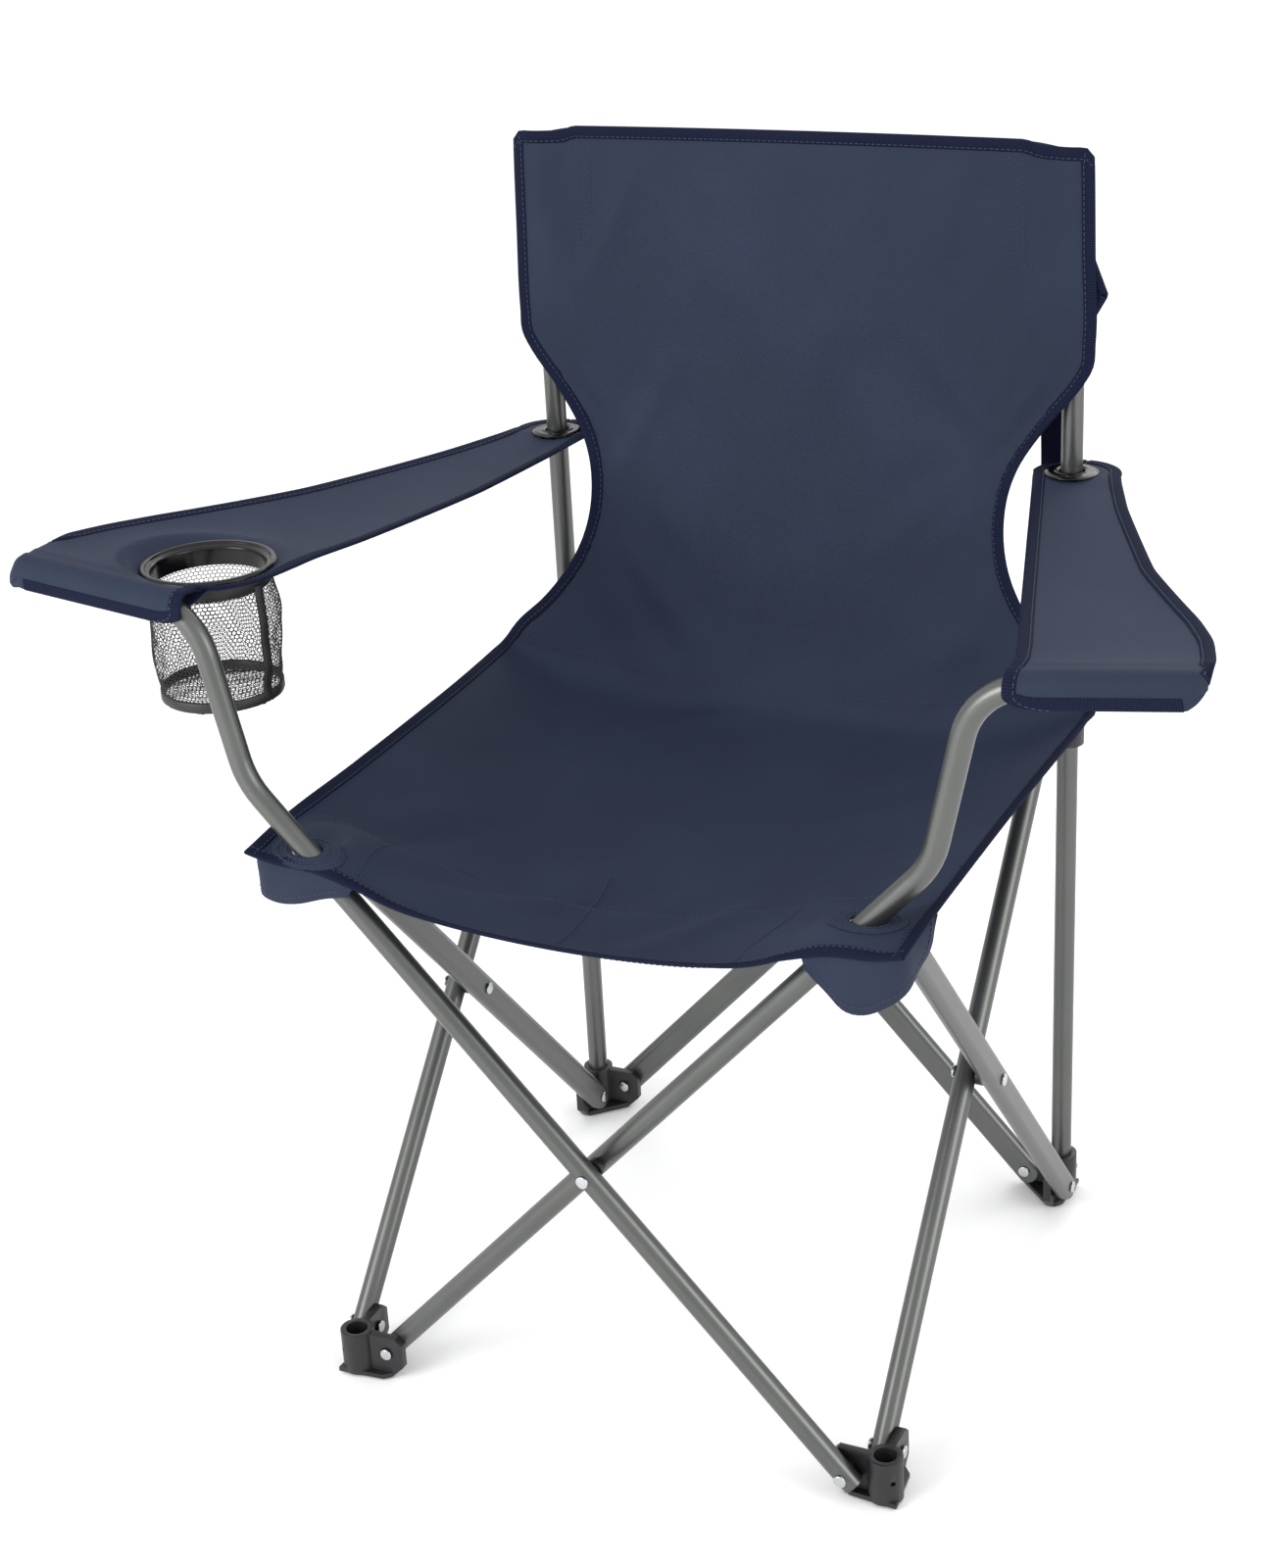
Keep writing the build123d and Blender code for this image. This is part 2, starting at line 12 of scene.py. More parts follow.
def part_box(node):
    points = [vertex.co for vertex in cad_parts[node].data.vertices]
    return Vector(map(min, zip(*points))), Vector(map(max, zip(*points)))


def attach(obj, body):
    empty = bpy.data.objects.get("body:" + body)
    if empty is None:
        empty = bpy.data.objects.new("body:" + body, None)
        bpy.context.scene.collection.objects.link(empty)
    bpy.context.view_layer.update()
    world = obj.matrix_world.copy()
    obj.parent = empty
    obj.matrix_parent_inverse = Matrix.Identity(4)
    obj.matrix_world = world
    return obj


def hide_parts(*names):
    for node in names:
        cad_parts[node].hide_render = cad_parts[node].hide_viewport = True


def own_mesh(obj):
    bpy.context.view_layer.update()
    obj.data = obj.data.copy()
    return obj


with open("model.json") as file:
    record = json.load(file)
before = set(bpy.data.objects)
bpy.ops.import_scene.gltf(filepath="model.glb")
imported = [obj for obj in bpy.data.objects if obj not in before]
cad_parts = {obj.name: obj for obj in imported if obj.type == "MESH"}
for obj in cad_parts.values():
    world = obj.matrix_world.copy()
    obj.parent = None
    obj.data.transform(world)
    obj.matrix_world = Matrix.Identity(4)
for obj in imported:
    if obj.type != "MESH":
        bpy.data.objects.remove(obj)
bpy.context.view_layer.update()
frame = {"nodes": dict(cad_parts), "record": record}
print("frame loaded")


def linear(hexColour):
    values = [int(hexColour[i : i + 2], 16) / 255 for i in (1, 3, 5)]
    return tuple(v / 12.92 if v <= 0.04045 else ((v + 0.055) / 1.055) ** 2.4 for v in values) + (1.0,)


# A link's source is a socket, or a node whose first output is meant.
def addNode(tree, kind, settings=None, values=None, links=None):
    node = tree.nodes.new("ShaderNode" + kind)
    for key, value in (settings or {}).items():
        setattr(node, key, value)
    for key, value in (values or {}).items():
        node.inputs[key].default_value = value
    connect(tree, node, links or {})
    return node


def connect(tree, node, links):
    for key, source in links.items():
        socket = source.outputs[0] if isinstance(source, bpy.types.Node) else source
        tree.links.new(socket, node.inputs[key])


def newMaterial(name, **values):
    material = bpy.data.materials.new(name)
    material.use_nodes = True
    tree = material.node_tree
    tree.nodes.clear()
    shader = addNode(tree, "BsdfPrincipled", values={k.replace("_", " "): v for k, v in values.items()})
    addNode(tree, "OutputMaterial", links={"Surface": shader})
    return material, tree, shader


def deselect():
    bpy.ops.object.select_all(action="DESELECT")


def pick(obj):
    deselect()
    obj.select_set(True)
    bpy.context.view_layer.objects.active = obj


def applyModifier(obj, kind, **settings):
    modifier = obj.modifiers.new("edge", kind)
    for key, value in settings.items():
        setattr(modifier, key, value)
    pick(obj)
    bpy.ops.object.modifier_apply(modifier=modifier.name)


def smooth(obj, degrees):
    pick(obj)
    bpy.ops.object.shade_smooth_by_angle(angle=math.radians(degrees))


def meshObject(name, vertices, faces, material, uv=None):
    mesh = bpy.data.meshes.new(name)
    mesh.from_pydata([tuple(v) for v in vertices], [], [tuple(int(i) for i in f) for f in faces])
    if uv is not None:
        layer = mesh.uv_layers.new(name="cut")
        loops = np.empty(len(mesh.loops), dtype=np.int32)
        mesh.loops.foreach_get("vertex_index", loops)
        layer.data.foreach_set("uv", np.asarray(uv, dtype=np.float32)[loops].ravel())
    mesh.materials.append(material)
    obj = bpy.data.objects.new(name, mesh)
    bpy.context.scene.collection.objects.link(obj)
    mesh.polygons.foreach_set("use_smooth", [True] * len(mesh.polygons))
    return obj


def faceOut(obj):
    turned = bmesh.new()
    turned.from_mesh(obj.data)
    bmesh.ops.recalc_face_normals(turned, faces=turned.faces)
    turned.to_mesh(obj.data)
    turned.free()


# Fixes a piece to its body and hides the nodes it takes the place of; a piece given a squash gets a mesh of
# its own.
def place(obj, body, squash=None, takes=()):
    if takes:
        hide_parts(*takes)
    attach(obj, body)
    if squash:
        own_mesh(obj)


mixColours, multiplyAdd = {"data_type": "RGBA"}, {"operation": "MULTIPLY_ADD"}
# 600 denier polyester, plain woven and dyed navy: matt, with a faint bluish sheen at a low angle.
# Its threads are really 0.5 mm apart, and are drawn coarser so that they show.
cloth = dict(
    pitch=0.0013, slub=260.0, cloud=9.0, relief=0.0003,
    navy=linear("#222c41"), shade=linear("#182033"), worn=linear("#29344c"), sheen=linear("#7f8fb8"),
)


def polyesterCloth():
    material, tree, shader = newMaterial(
        "navyPolyesterWeave", Roughness=0.78, IOR=1.45, Specular_IOR_Level=0.35,
        Sheen_Weight=0.06, Sheen_Roughness=0.4, Sheen_Tint=cloth["sheen"],
    )
    uv = addNode(tree, "UVMap", {"uv_map": "cut"})
    grid = addNode(tree, "Mapping", values={"Scale": [math.tau / cloth["pitch"]] * 3}, links={"Vector": uv})
    split = addNode(tree, "SeparateXYZ", links={0: grid})
    warp = addNode(tree, "Math", {"operation": "SINE"}, links={0: split.outputs[0]})
    weft = addNode(tree, "Math", {"operation": "SINE"}, links={0: split.outputs[1]})
    over = addNode(tree, "Math", {"operation": "MULTIPLY"}, links={0: warp, 1: weft})
    slub = addNode(tree, "TexNoise", values={"Scale": cloth["slub"], "Detail": 3.0}, links={"Vector": uv})
    cloud = addNode(tree, "TexNoise", values={"Scale": cloth["cloud"], "Detail": 4.0}, links={"Vector": uv})
    # The tone follows the weave's relief: its hollows are painted darker towards the shade colour, which is
    # painted shade between the threads, and the slub noise adds a tone that differs at random.
    tone = addNode(tree, "Math", multiplyAdd, {1: 0.22, 2: 0.42}, {0: over})
    tone = addNode(tree, "Math", multiplyAdd, {1: 0.35}, {0: slub, 2: tone})
    ramped = addNode(tree, "Mix", mixColours, {6: cloth["shade"], 7: cloth["navy"]}, {0: tone})
    limits = {"From Min": 0.45, "From Max": 0.8, "To Max": 0.45}
    wear = addNode(tree, "MapRange", values=limits, links={"Value": cloud})
    colour = addNode(tree, "Mix", mixColours, {7: cloth["worn"]}, {0: wear, 6: ramped.outputs[2]})
    height = addNode(tree, "Math", multiplyAdd, {1: 1.4}, {0: slub, 2: over})
    relief = {"Strength": 0.35, "Distance": cloth["relief"]}
    bump = addNode(tree, "Bump", values=relief, links={"Height": height})
    connect(tree, shader, {"Base Color": colour.outputs[2], "Normal": bump})
    return material


# Grosgrain tape: ribs across its length, darker and a little glossier than the cloth.
tape = dict(rib=0.0018, dark=linear("#0c1124"), light=linear("#161d36"), relief=0.0004)


def grosgrainTape():
    material, tree, shader = newMaterial("navyGrosgrainTape", Roughness=0.8, Specular_IOR_Level=0.12)
    uv = addNode(tree, "UVMap", {"uv_map": "cut"})
    split = addNode(tree, "SeparateXYZ", links={0: uv})
    turn = addNode(tree, "Math", {"operation": "MULTIPLY"}, {1: math.tau / tape["rib"]}, {0: split})
    rib = addNode(tree, "Math", {"operation": "SINE"}, links={0: turn})
    level = addNode(tree, "MapRange", values={"From Min": -1.0}, links={"Value": rib})
    # The grooves between the ribs are painted in the dark colour and the rib tops in the light one: painted
    # shade and painted light following the ribs.
    colour = addNode(tree, "Mix", mixColours, {6: tape["dark"], 7: tape["light"]}, {0: level})
    relief = {"Strength": 0.7, "Distance": tape["relief"]}
    bump = addNode(tree, "Bump", values=relief, links={"Height": level})
    connect(tree, shader, {"Base Color": colour.outputs[2], "Normal": bump})
    return material


# A finish with a fine grain: colour, roughness and relief all follow one noise in object space.
def patterned(name, dark, light, scale, relief, rough, **values):
    material, tree, shader = newMaterial(name, **values)
    spot = addNode(tree, "TexCoord").outputs["Object"]
    grain = addNode(tree, "TexNoise", values={"Scale": scale, "Detail": 3.0}, links={"Vector": spot})
    broad = addNode(tree, "TexNoise", values={"Scale": 18.0, "Detail": 2.0}, links={"Vector": spot})
    half = addNode(tree, "Math", {"operation": "MULTIPLY"}, {1: 0.5}, {0: grain})
    both = addNode(tree, "Math", multiplyAdd, {1: 0.5}, {0: broad, 2: half})
    colour = addNode(tree, "Mix", mixColours, {6: linear(dark), 7: linear(light)}, {0: both})
    limits = {"From Min": 0.3, "From Max": 0.7, "To Min": rough[0], "To Max": rough[1]}
    roughness = addNode(tree, "MapRange", values=limits, links={"Value": both})
    bump = addNode(tree, "Bump", values={"Strength": 0.5, "Distance": relief}, links={"Height": grain})
    connect(tree, shader, {"Base Color": colour.outputs[2], "Roughness": roughness, "Normal": bump})
    return material


navyCloth = polyesterCloth()
navyTape = grosgrainTape()
# Sewing thread: polyester, a shade off the cloth so that each stitch reads.
navyThread = patterned("navyPolyesterThread", "#141a2b", "#2b3550", 900.0, 0.0001, (0.5, 0.7))
# ABS moulded in a polished tool: deep black gloss.
glossAbs = patterned(
    "blackGlossAbs", "#050506", "#0b0b0d", 300.0, 0.00001, (0.16, 0.26), Specular_IOR_Level=0.4
)
# Knitted polyester mesh yarn.
meshYarn = patterned("blackPolyesterMeshYarn", "#101012", "#202024", 1200.0, 0.0001, (0.45, 0.6))
finishes = {
    # Silver powder coat on drawn steel tube: fine metallic flake under a satin surface.
    "satin_steel": patterned(
        "silverPowderCoat", "#565857", "#6e6f6d", 1400.0, 0.00004, (0.3, 0.4), Metallic=0.85
    ),
    # Zinc plated steel: bright, slightly mottled.
    "zinc": patterned("zincPlatedSteel", "#a3a6a8", "#d9dcdd", 500.0, 0.00005, (0.16, 0.32), Metallic=1.0),
    # Polypropylene moulded in a spark eroded tool: black with a fine satin grain.
    "black_plastic": patterned(
        "blackPolypropyleneMoulding", "#0d0d0f", "#1c1c1f", 1500.0, 0.0001, (0.34, 0.5)
    ),
    "gloss_black": glossAbs,
    "navy_polyester": navyCloth,
    "black_mesh": meshYarn,
    "webbing": navyTape,
}
slotOf = {part["node"]: part["material_slot"] for part in frame["record"]["subparts"]}
bodyOf = {node: body for body, nodes in frame["record"]["behaviour"]["bodies"].items() for node in nodes}
for node, obj in frame["nodes"].items():
    obj.data.materials.clear()
    obj.data.materials.append(finishes[slotOf[node]])
print("materials made")

# Mouldings and pins have their edges rounded as they come from the tool: width and steps.
softEdges = {"black_plastic": (0.0007, 2), "zinc": (0.0008, 3)}


def softenedCopy(node, width, segments):
    obj = frame["nodes"][node].copy()
    obj.data = obj.data.copy()
    obj.name = node + "_moulded"
    for key in list(obj.keys()):
        del obj[key]
    obj.parent = None
    bpy.context.scene.collection.objects.link(obj)
    pick(obj)
    bpy.ops.object.mode_set(mode="EDIT")
    bpy.ops.mesh.select_all(action="SELECT")
    bpy.ops.mesh.remove_doubles(threshold=0.00001)
    bpy.ops.mesh.dissolve_limited(angle_limit=math.radians(1.0))
    bpy.ops.object.mode_set(mode="OBJECT")
    settings = dict(width=width, segments=segments, limit_method="ANGLE", angle_limit=math.radians(40))
    applyModifier(obj, "BEVEL", use_clamp_overlap=True, **settings)
    smooth(obj, 35)
    place(obj, bodyOf[node], takes=[node])


for node in frame["nodes"]:
    if slotOf[node] in softEdges:
        softenedCopy(node, *softEdges[slotOf[node]])
print("hardware softened")


# Ring about an upright line: its section is a closed outline of (radius, height), spun in edit mode.
def spunRing(name, node, body, x, y, section, bevel):
    deselect()
    bpy.ops.mesh.primitive_circle_add(vertices=len(section), radius=0.01, fill_type="NGON")
    obj = bpy.context.active_object
    obj.name = name
    for vertex, (radius, height) in zip(obj.data.vertices, section):
        vertex.co = (radius, 0, height)
    applyModifier(obj, "BEVEL", affect="VERTICES", width=bevel, segments=4)
    bpy.ops.object.mode_set(mode="EDIT")
    bpy.ops.mesh.select_all(action="SELECT")
    bpy.ops.mesh.spin(steps=rings["steps"], angle=math.tau, center=(0, 0, 0), axis=(0, 0, 1))
    bpy.ops.mesh.select_all(action="SELECT")
    bpy.ops.mesh.remove_doubles(threshold=0.00002)
    bpy.ops.object.mode_set(mode="OBJECT")
    cleaned = bmesh.new()
    cleaned.from_mesh(obj.data)
    inner = [f for f in cleaned.faces if len(f.verts) > 4]
    bmesh.ops.delete(cleaned, geom=inner, context="FACES_ONLY")
    bmesh.ops.translate(cleaned, verts=cleaned.verts, vec=(x, y, 0))
    bmesh.ops.recalc_face_normals(cleaned, faces=cleaned.faces)
    cleaned.to_mesh(obj.data)
    cleaned.free()
    obj.data.materials.append(glossAbs)
    smooth(obj, 40)
    place(obj, body, takes=[node])


# A ring's middle, radius, foot and top in the frame.
def ringPlace(node):
    low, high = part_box(node)
    return (low[0] + high[0]) / 2, (low[1] + high[1]) / 2, (high[0] - low[0]) / 2, low[2], high[2]


rings = dict(steps=96, cupBore=0.040, lip=0.0029, wall=0.0021, bore=0.0095, neck=0.0155)
cupX, cupY, cupRim, cupFoot, cupTop = ringPlace("cup_ring")


def makeCupRing():
    r, top, bore = cupRim, cupTop, rings["cupBore"]
    outside, shoulder = bore + rings["wall"], top - rings["lip"]
    section = [
        (bore, cupFoot), (bore, top - 0.004), (bore + 0.0012, top - 0.0026), (bore + 0.003, top - 0.0022),
        (bore + 0.0042, top), (r - 0.0015, top), (r, top - 0.0016), (r, shoulder), (outside, shoulder),
        (outside, cupFoot),
    ]
    spunRing("cup_ring_gloss", "cup_ring", "cup_holder", cupX, cupY, section, 0.0006)


def makeGrommet(side):
    node = f"arm_grommet_{side}"
    x, y, r, foot, top = ringPlace(node)
    bore, neck = rings["bore"], rings["neck"]
    section = [
        (bore, foot), (bore, top - 0.0008), (bore + 0.0022, top + 0.0004), (bore + 0.0036, top - 0.0006),
        (r - 0.003, top - 0.0004), (r, top - 0.0016), (r, top - 0.0024), (neck, top - 0.0024),
        (neck, foot + 0.0024), (r, foot + 0.0024), (r, foot + 0.0012), (r - 0.002, foot),
    ]
    spunRing(f"arm_grommet_gloss_{side}", node, node, x, y, section, 0.0005)


makeCupRing()
makeGrommet("left")
makeGrommet("right")
print("rings spun")


def ramp(values, start, width):
    return np.clip((values - start) / width, 0, 1)


def hump(values, middle, width):
    return np.exp(-(((values - middle) / width) ** 2))


def unit(vectors):
    return vectors / np.linalg.norm(vectors, axis=1, keepdims=True)


# Distance along a path at each of its points.
def runOf(path):
    return np.r_[0, np.cumsum(np.linalg.norm(np.diff(path, axis=0), axis=1))]


# Smooth (Catmull-Rom) run through the given rows, sampled evenly by the rows' first value.
def interpolate(rows, count):
    rows = np.array(rows, float)
    s = rows[:, 0]
    at = np.linspace(s[0], s[-1], count)
    slopes = np.gradient(rows[:, 1:], s, axis=0)
    index = np.clip(np.searchsorted(s, at, side="right") - 1, 0, len(s) - 2)
    width = (s[index + 1] - s[index])[:, None]
    t = ((at - s[index]) / (s[index + 1] - s[index]))[:, None]
    a, b = rows[index, 1:], rows[index + 1, 1:]
    ma, mb = slopes[index] * width, slopes[index + 1] * width
    start, leave = (2 * t**3 - 3 * t**2 + 1) * a, (t**3 - 2 * t**2 + t) * ma
    return start + leave + (3 * t**2 - 2 * t**3) * b + (t**3 - t**2) * mb


def gridNormals(points):
    normal = np.cross(np.gradient(points, axis=1), np.gradient(points, axis=0))
    return normal / np.maximum(np.linalg.norm(normal, axis=2, keepdims=True), 1e-9)


# Distance along the middle column and out along each row, in metres: the cloth's own cut.
def gridUv(points):
    rows, cols, _ = points.shape
    middle = cols // 2
    down = runOf(points[:, middle])
    out = np.zeros((rows, cols))
    out[:, 1:] = np.cumsum(np.linalg.norm(np.diff(points, axis=1), axis=2), axis=1)
    out -= out[:, middle : middle + 1]
    return np.stack([out, np.repeat(down[:, None], cols, axis=1)], axis=2)


def gridFaces(points):
    rows, cols, _ = points.shape
    index = np.arange(rows * cols).reshape(rows, cols)
    return np.stack([index[:-1, :-1], index[:-1, 1:], index[1:, 1:], index[1:, :-1]], axis=2)


# One piece of a gridded cloth, given a thickness: all its cells, or those that are kept.
def sheetFrom(name, points, thickness, keep=None, uv=None, material=navyCloth):
    faces = gridFaces(points)
    faces = faces.reshape(-1, 4) if keep is None else faces[keep]
    used, own = np.unique(faces, return_inverse=True)
    uv = (gridUv(points) if uv is None else uv).reshape(-1, 2)[used]
    obj = meshObject(name, points.reshape(-1, 3)[used], own.reshape(-1, 4), material, uv)
    applyModifier(obj, "SOLIDIFY", thickness=thickness, offset=0.0)
    smooth(obj, 45)
    return obj


hanging = dict(
    quality=6, mass=0.25, tension_stiffness=18.0, compression_stiffness=18.0, shear_stiffness=9.0,
    bending_stiffness=1.2, air_damping=2.0, vertex_group_mass="pinned",
)
hangingFrames = 22


# Hangs a gridded cloth from its pinned points and gives back where it settles, moved by the cap at most.
def drape(name, points, pinned, slack=0.012, cap=0.014, gravity=1.0, calm=0):
    index = np.arange(pinned.size).reshape(pinned.shape)
    obj = meshObject(name + "_hung", points.reshape(-1, 3), gridFaces(points).reshape(-1, 4), navyCloth)
    group = obj.vertex_groups.new(name="pinned")
    group.add([int(i) for i in index[pinned]], 1.0, "REPLACE")
    modifier = obj.modifiers.new("Cloth", "CLOTH")
    for key, value in hanging.items():
        setattr(modifier.settings, key, value)
    modifier.settings.shrink_min = -slack
    modifier.settings.effector_weights.gravity = gravity
    modifier.point_cache.frame_end = hangingFrames
    scene = bpy.context.scene
    for f in range(1, hangingFrames + 1):
        scene.frame_set(f)
    settled = obj.evaluated_get(bpy.context.evaluated_depsgraph_get()).data
    out = np.empty(len(settled.vertices) * 3)
    settled.vertices.foreach_get("co", out)
    scene.frame_set(1)
    bpy.data.objects.remove(obj, do_unlink=True)
    moved = out.reshape(points.shape) - points
    far = np.linalg.norm(moved, axis=2, keepdims=True)
    moved *= np.minimum(1.0, cap / np.maximum(far, 1e-9))
    free = ~pinned[1:-1, 1:-1, None]
    for _ in range(calm):
        around = (moved[:-2, 1:-1] + moved[2:, 1:-1] + moved[1:-1, :-2] + moved[1:-1, 2:]) / 4
        moved[1:-1, 1:-1] = np.where(free, around, moved[1:-1, 1:-1])
    return points + moved


# Faces of a run of rings, each of count points, closed at both ends.
def tubeFaces(base, rings, count):
    faces, end = [], base + (rings - 1) * count
    for k in range(base, end, count):
        for i in range(count):
            j = (i + 1) % count
            faces.append((k + i, k + j, k + count + j, k + count + i))
    return faces + [tuple(range(base, base + count))[::-1], tuple(range(end, end + count))]


# Binding tape folded over an edge, swept along it. towards points into the cloth.
def tapeAlong(name, path, normals, towards, width=0.0085, half=0.0015):
    path, normals, towards = (np.asarray(a, float) for a in (path, normals, towards))
    tangent = unit(np.gradient(path, axis=0))
    inward = unit(towards - tangent * np.sum(towards * tangent, axis=1, keepdims=True))
    up = np.cross(tangent, inward)
    up *= np.sign(np.sum(up * normals, axis=1, keepdims=True) + 1e-9)
    section = [(-0.0009, 0), (-0.0006, 0.6 * half), (0.0006, half), (width - 0.0006, 0.95 * half)]
    section.append((width, 0.5 * half))
    section += [(a, -b) for a, b in reversed(section[1:])]
    run, count = runOf(path), len(section)
    girth = np.r_[0, np.cumsum([math.dist(section[i], section[(i + 1) % count]) for i in range(count)])]
    vertices = [p + n * a + u * b for p, n, u in zip(path, inward, up) for a, b in section]
    uv = [(along, girth[i]) for along in run for i in range(count)]
    obj = meshObject(name, vertices, tubeFaces(0, len(path), count), navyTape, uv)
    faceOut(obj)
    smooth(obj, 60)
    return obj


# Separate stitches of thread along a line on the cloth, sunk a little at both ends.
def stitchesAlong(name, path, normals, lift, pitch=0.0042, length=0.0031, radius=0.00038, sides=(1, -1)):
    run = runOf(path)
    vertices, faces = [], []
    for mark in np.arange(pitch / 2, run[-1] - length / 2, pitch):
        along = mark + length * np.array([-0.5, -0.36, 0.0, 0.36, 0.5])
        centre = np.stack([np.interp(along, run, path[:, i]) for i in range(3)], axis=1)
        normal = np.array([np.interp(mark, run, normals[:, i]) for i in range(3)])
        normal /= np.linalg.norm(normal)
        way = centre[-1] - centre[0]
        way /= max(np.linalg.norm(way), 1e-9)
        across = np.cross(way, normal)
        for side in sides:
            base = len(vertices)
            for k, swell in enumerate((0.35, 0.9, 1.0, 0.9, 0.35)):
                middle = centre[k] + side * normal * (lift + radius * (swell - 0.9))
                for angle in (45, 135, 225, 315):
                    a = math.radians(angle)
                    aside = across * (1.3 * radius * swell * math.cos(a))
                    vertices.append(middle + aside + side * normal * (radius * swell * math.sin(a)))
            faces += tubeFaces(base, 5, 4)
    obj = meshObject(name, vertices, faces, navyThread)
    faceOut(obj)
    return obj


# Tape over an edge, with the line of stitches that holds it.
def bind(name, stitchName, path, normals, towards, bodyName, squash):
    place(tapeAlong(name, path, normals, towards), bodyName, squash)
    line = stitchesAlong(stitchName, path + unit(towards) * 0.0068, normals, lift=0.0015)
    place(line, bodyName, squash)


# Each row: distance along the cloth, then its right edge (x, y, z) and its middle (y, z), in millimetres.
bodyCut = dict(
    rows=[
        (0, 238, -240, 439, -233, 401), (60, 239, -181, 443, -176, 397), (150, 239, -91, 444, -88, 398),
        (240, 240, -1, 445, 0, 405), (320, 242, 80, 446, 82, 416), (380, 244, 138, 448, 142, 427),
        (404, 244, 161, 450, 166, 435), (424, 232, 164, 466, 181, 450), (448, 209, 167, 487, 190, 475),
        (492, 178, 173, 530, 194, 526), (537, 167, 180, 575, 198, 575), (583, 176, 187, 621, 203, 621),
        (618, 200, 193, 657, 206, 656), (640, 219, 196, 680, 207, 679), (654, 227, 197, 694, 208, 692),
        (674, 228.5, 198.5, 713, 208, 712), (742, 227, 199, 780, 206, 780), (811, 225, 200, 852.5, 202, 854),
    ],
    rowCount=163, colCount=97, thickness=0.0013, pocketColumn=0.8, hip=662, seam=404,
)
seatSquash = dict(axis=(0, 1, 0), anchor=(0, -0.183, 0.44), keep=0.104)
backSquash = dict(axis=(1, 0, 0), anchor=(-0.183, 0.2, 0.7), keep=0.1655)
# Above the hips the sheet swells over each upright, and the pockets' closed tops stand a little lower.
backRelief = dict(
    hips=0.69, top=0.82, ease=0.03, upright=0.207, uprightWidth=0.013, swell=0.0035, pocket=0.176,
    pocketDrop=0.0036, corner=0.2185, cornerDrop=0.006, seam=0.184, seamDip=0.002,
)
signs = {"left": -1, "right": 1}


def bodyPoints():
    run = interpolate(bodyCut["rows"], bodyCut["rowCount"]) / 1000
    u = np.linspace(-1, 1, bodyCut["colCount"])
    points = np.zeros((len(run), len(u), 3))
    share = np.abs(u)[None, :] ** 2.0
    points[:, :, 0] = run[:, 0:1] * u[None, :]
    points[:, :, 1] = run[:, 3:4] + (run[:, 1:2] - run[:, 3:4]) * share
    points[:, :, 2] = run[:, 4:5] + (run[:, 2:3] - run[:, 4:5]) * share
    form, x = backRelief, np.abs(points[:, :, 0])
    high = ramp(run[:, 4:5], form["hips"], form["ease"])
    nearTop = ramp(run[:, 4:5], form["top"], form["ease"])
    points[:, :, 1] -= form["swell"] * hump(x, form["upright"], form["uprightWidth"]) * high
    points[:, :, 2] -= form["pocketDrop"] * nearTop * ramp(x, form["pocket"], 0.009)
    points[:, :, 2] -= form["cornerDrop"] * nearTop**4 * ramp(x, form["corner"], 0.0065) ** 2
    points[:, :, 1] += form["seamDip"] * nearTop * hump(x, form["seam"], 0.005)
    return points


body = bodyPoints()
rowAt = np.linspace(bodyCut["rows"][0][0], bodyCut["rows"][-1][0], bodyCut["rowCount"])
seamRow = int(np.argmin(np.abs(rowAt - bodyCut["seam"])))
hipRow = int(np.argmin(np.abs(rowAt - bodyCut["hip"] + 8)))
middleCol = bodyCut["colCount"] // 2
pocketStep = int(round((1 - bodyCut["pocketColumn"]) * middleCol))
lastRow, lastCol = bodyCut["rowCount"] - 1, bodyCut["colCount"] - 1

held = np.zeros(body.shape[:2], bool)
held[:, [0, -1]] = True
held[[0, -1], :] = True
held[hipRow:, : pocketStep // 2] = True
held[hipRow:, -(pocketStep // 2) :] = True
# The seat rests on the frame's top corners, so it never falls below them there.
cornerRest = dict(x=0.201, y=-0.203, height=0.4350, flat=0.024, fall=0.42, ease=0.005, edge=0.03)
# Creases: along the cloth and across it from one point to another, then height and width, in millimetres.
creases = [
    (18, -150, 120, -30, 2.6, 13), (60, -190, 190, -120, -2.0, 15), (30, 30, 150, 90, 2.2, 14),
    (95, -60, 200, 60, -2.4, 20), (150, 120, 70, 200, 2.2, 15), (210, -190, 300, -60, 1.8, 18),
    (250, 70, 330, 170, -1.8, 18), (330, -120, 392, -20, 1.6, 14), (415, 40, 470, 150, 2.4, 14),
    (420, -60, 500, -150, 2.6, 14), (470, -90, 560, -150, -2.0, 12), (500, 60, 580, 150, 2.2, 14),
    (545, -150, 660, -100, 2.4, 12), (600, 150, 690, 95, 2.0, 12), (640, -20, 780, -60, 1.6, 22),
    (700, 110, 800, 165, -1.8, 14), (690, -170, 800, -130, 2.0, 12), (560, 10, 680, 50, -1.6, 24),
]
# Strength of all creases, how far each wanders, and the columns and rows that stay flat beside an edge.
creaseForm = dict(
    strength=1.8, wander=0.006, trough=0.55, troughShift=1.6 / 1.3, troughWidth=1.2, margin=2, fade=8
)


def onCorners(points, reach):
    away = np.hypot(np.abs(points[:, :, 0]) - cornerRest["x"], points[:, :, 1] - cornerRest["y"])
    rest = cornerRest["height"] - cornerRest["fall"] * np.maximum(0, away - cornerRest["flat"])
    lift = np.where(away < reach, rest - points[:, :, 2], -1.0)
    lift = 0.5 * (lift + np.sqrt(lift**2 + cornerRest["ease"] ** 2))
    lift *= ramp(reach - away, 0, cornerRest["edge"])
    out = points.copy()
    out[:, :, 2] += lift * (away < reach)
    return out, away


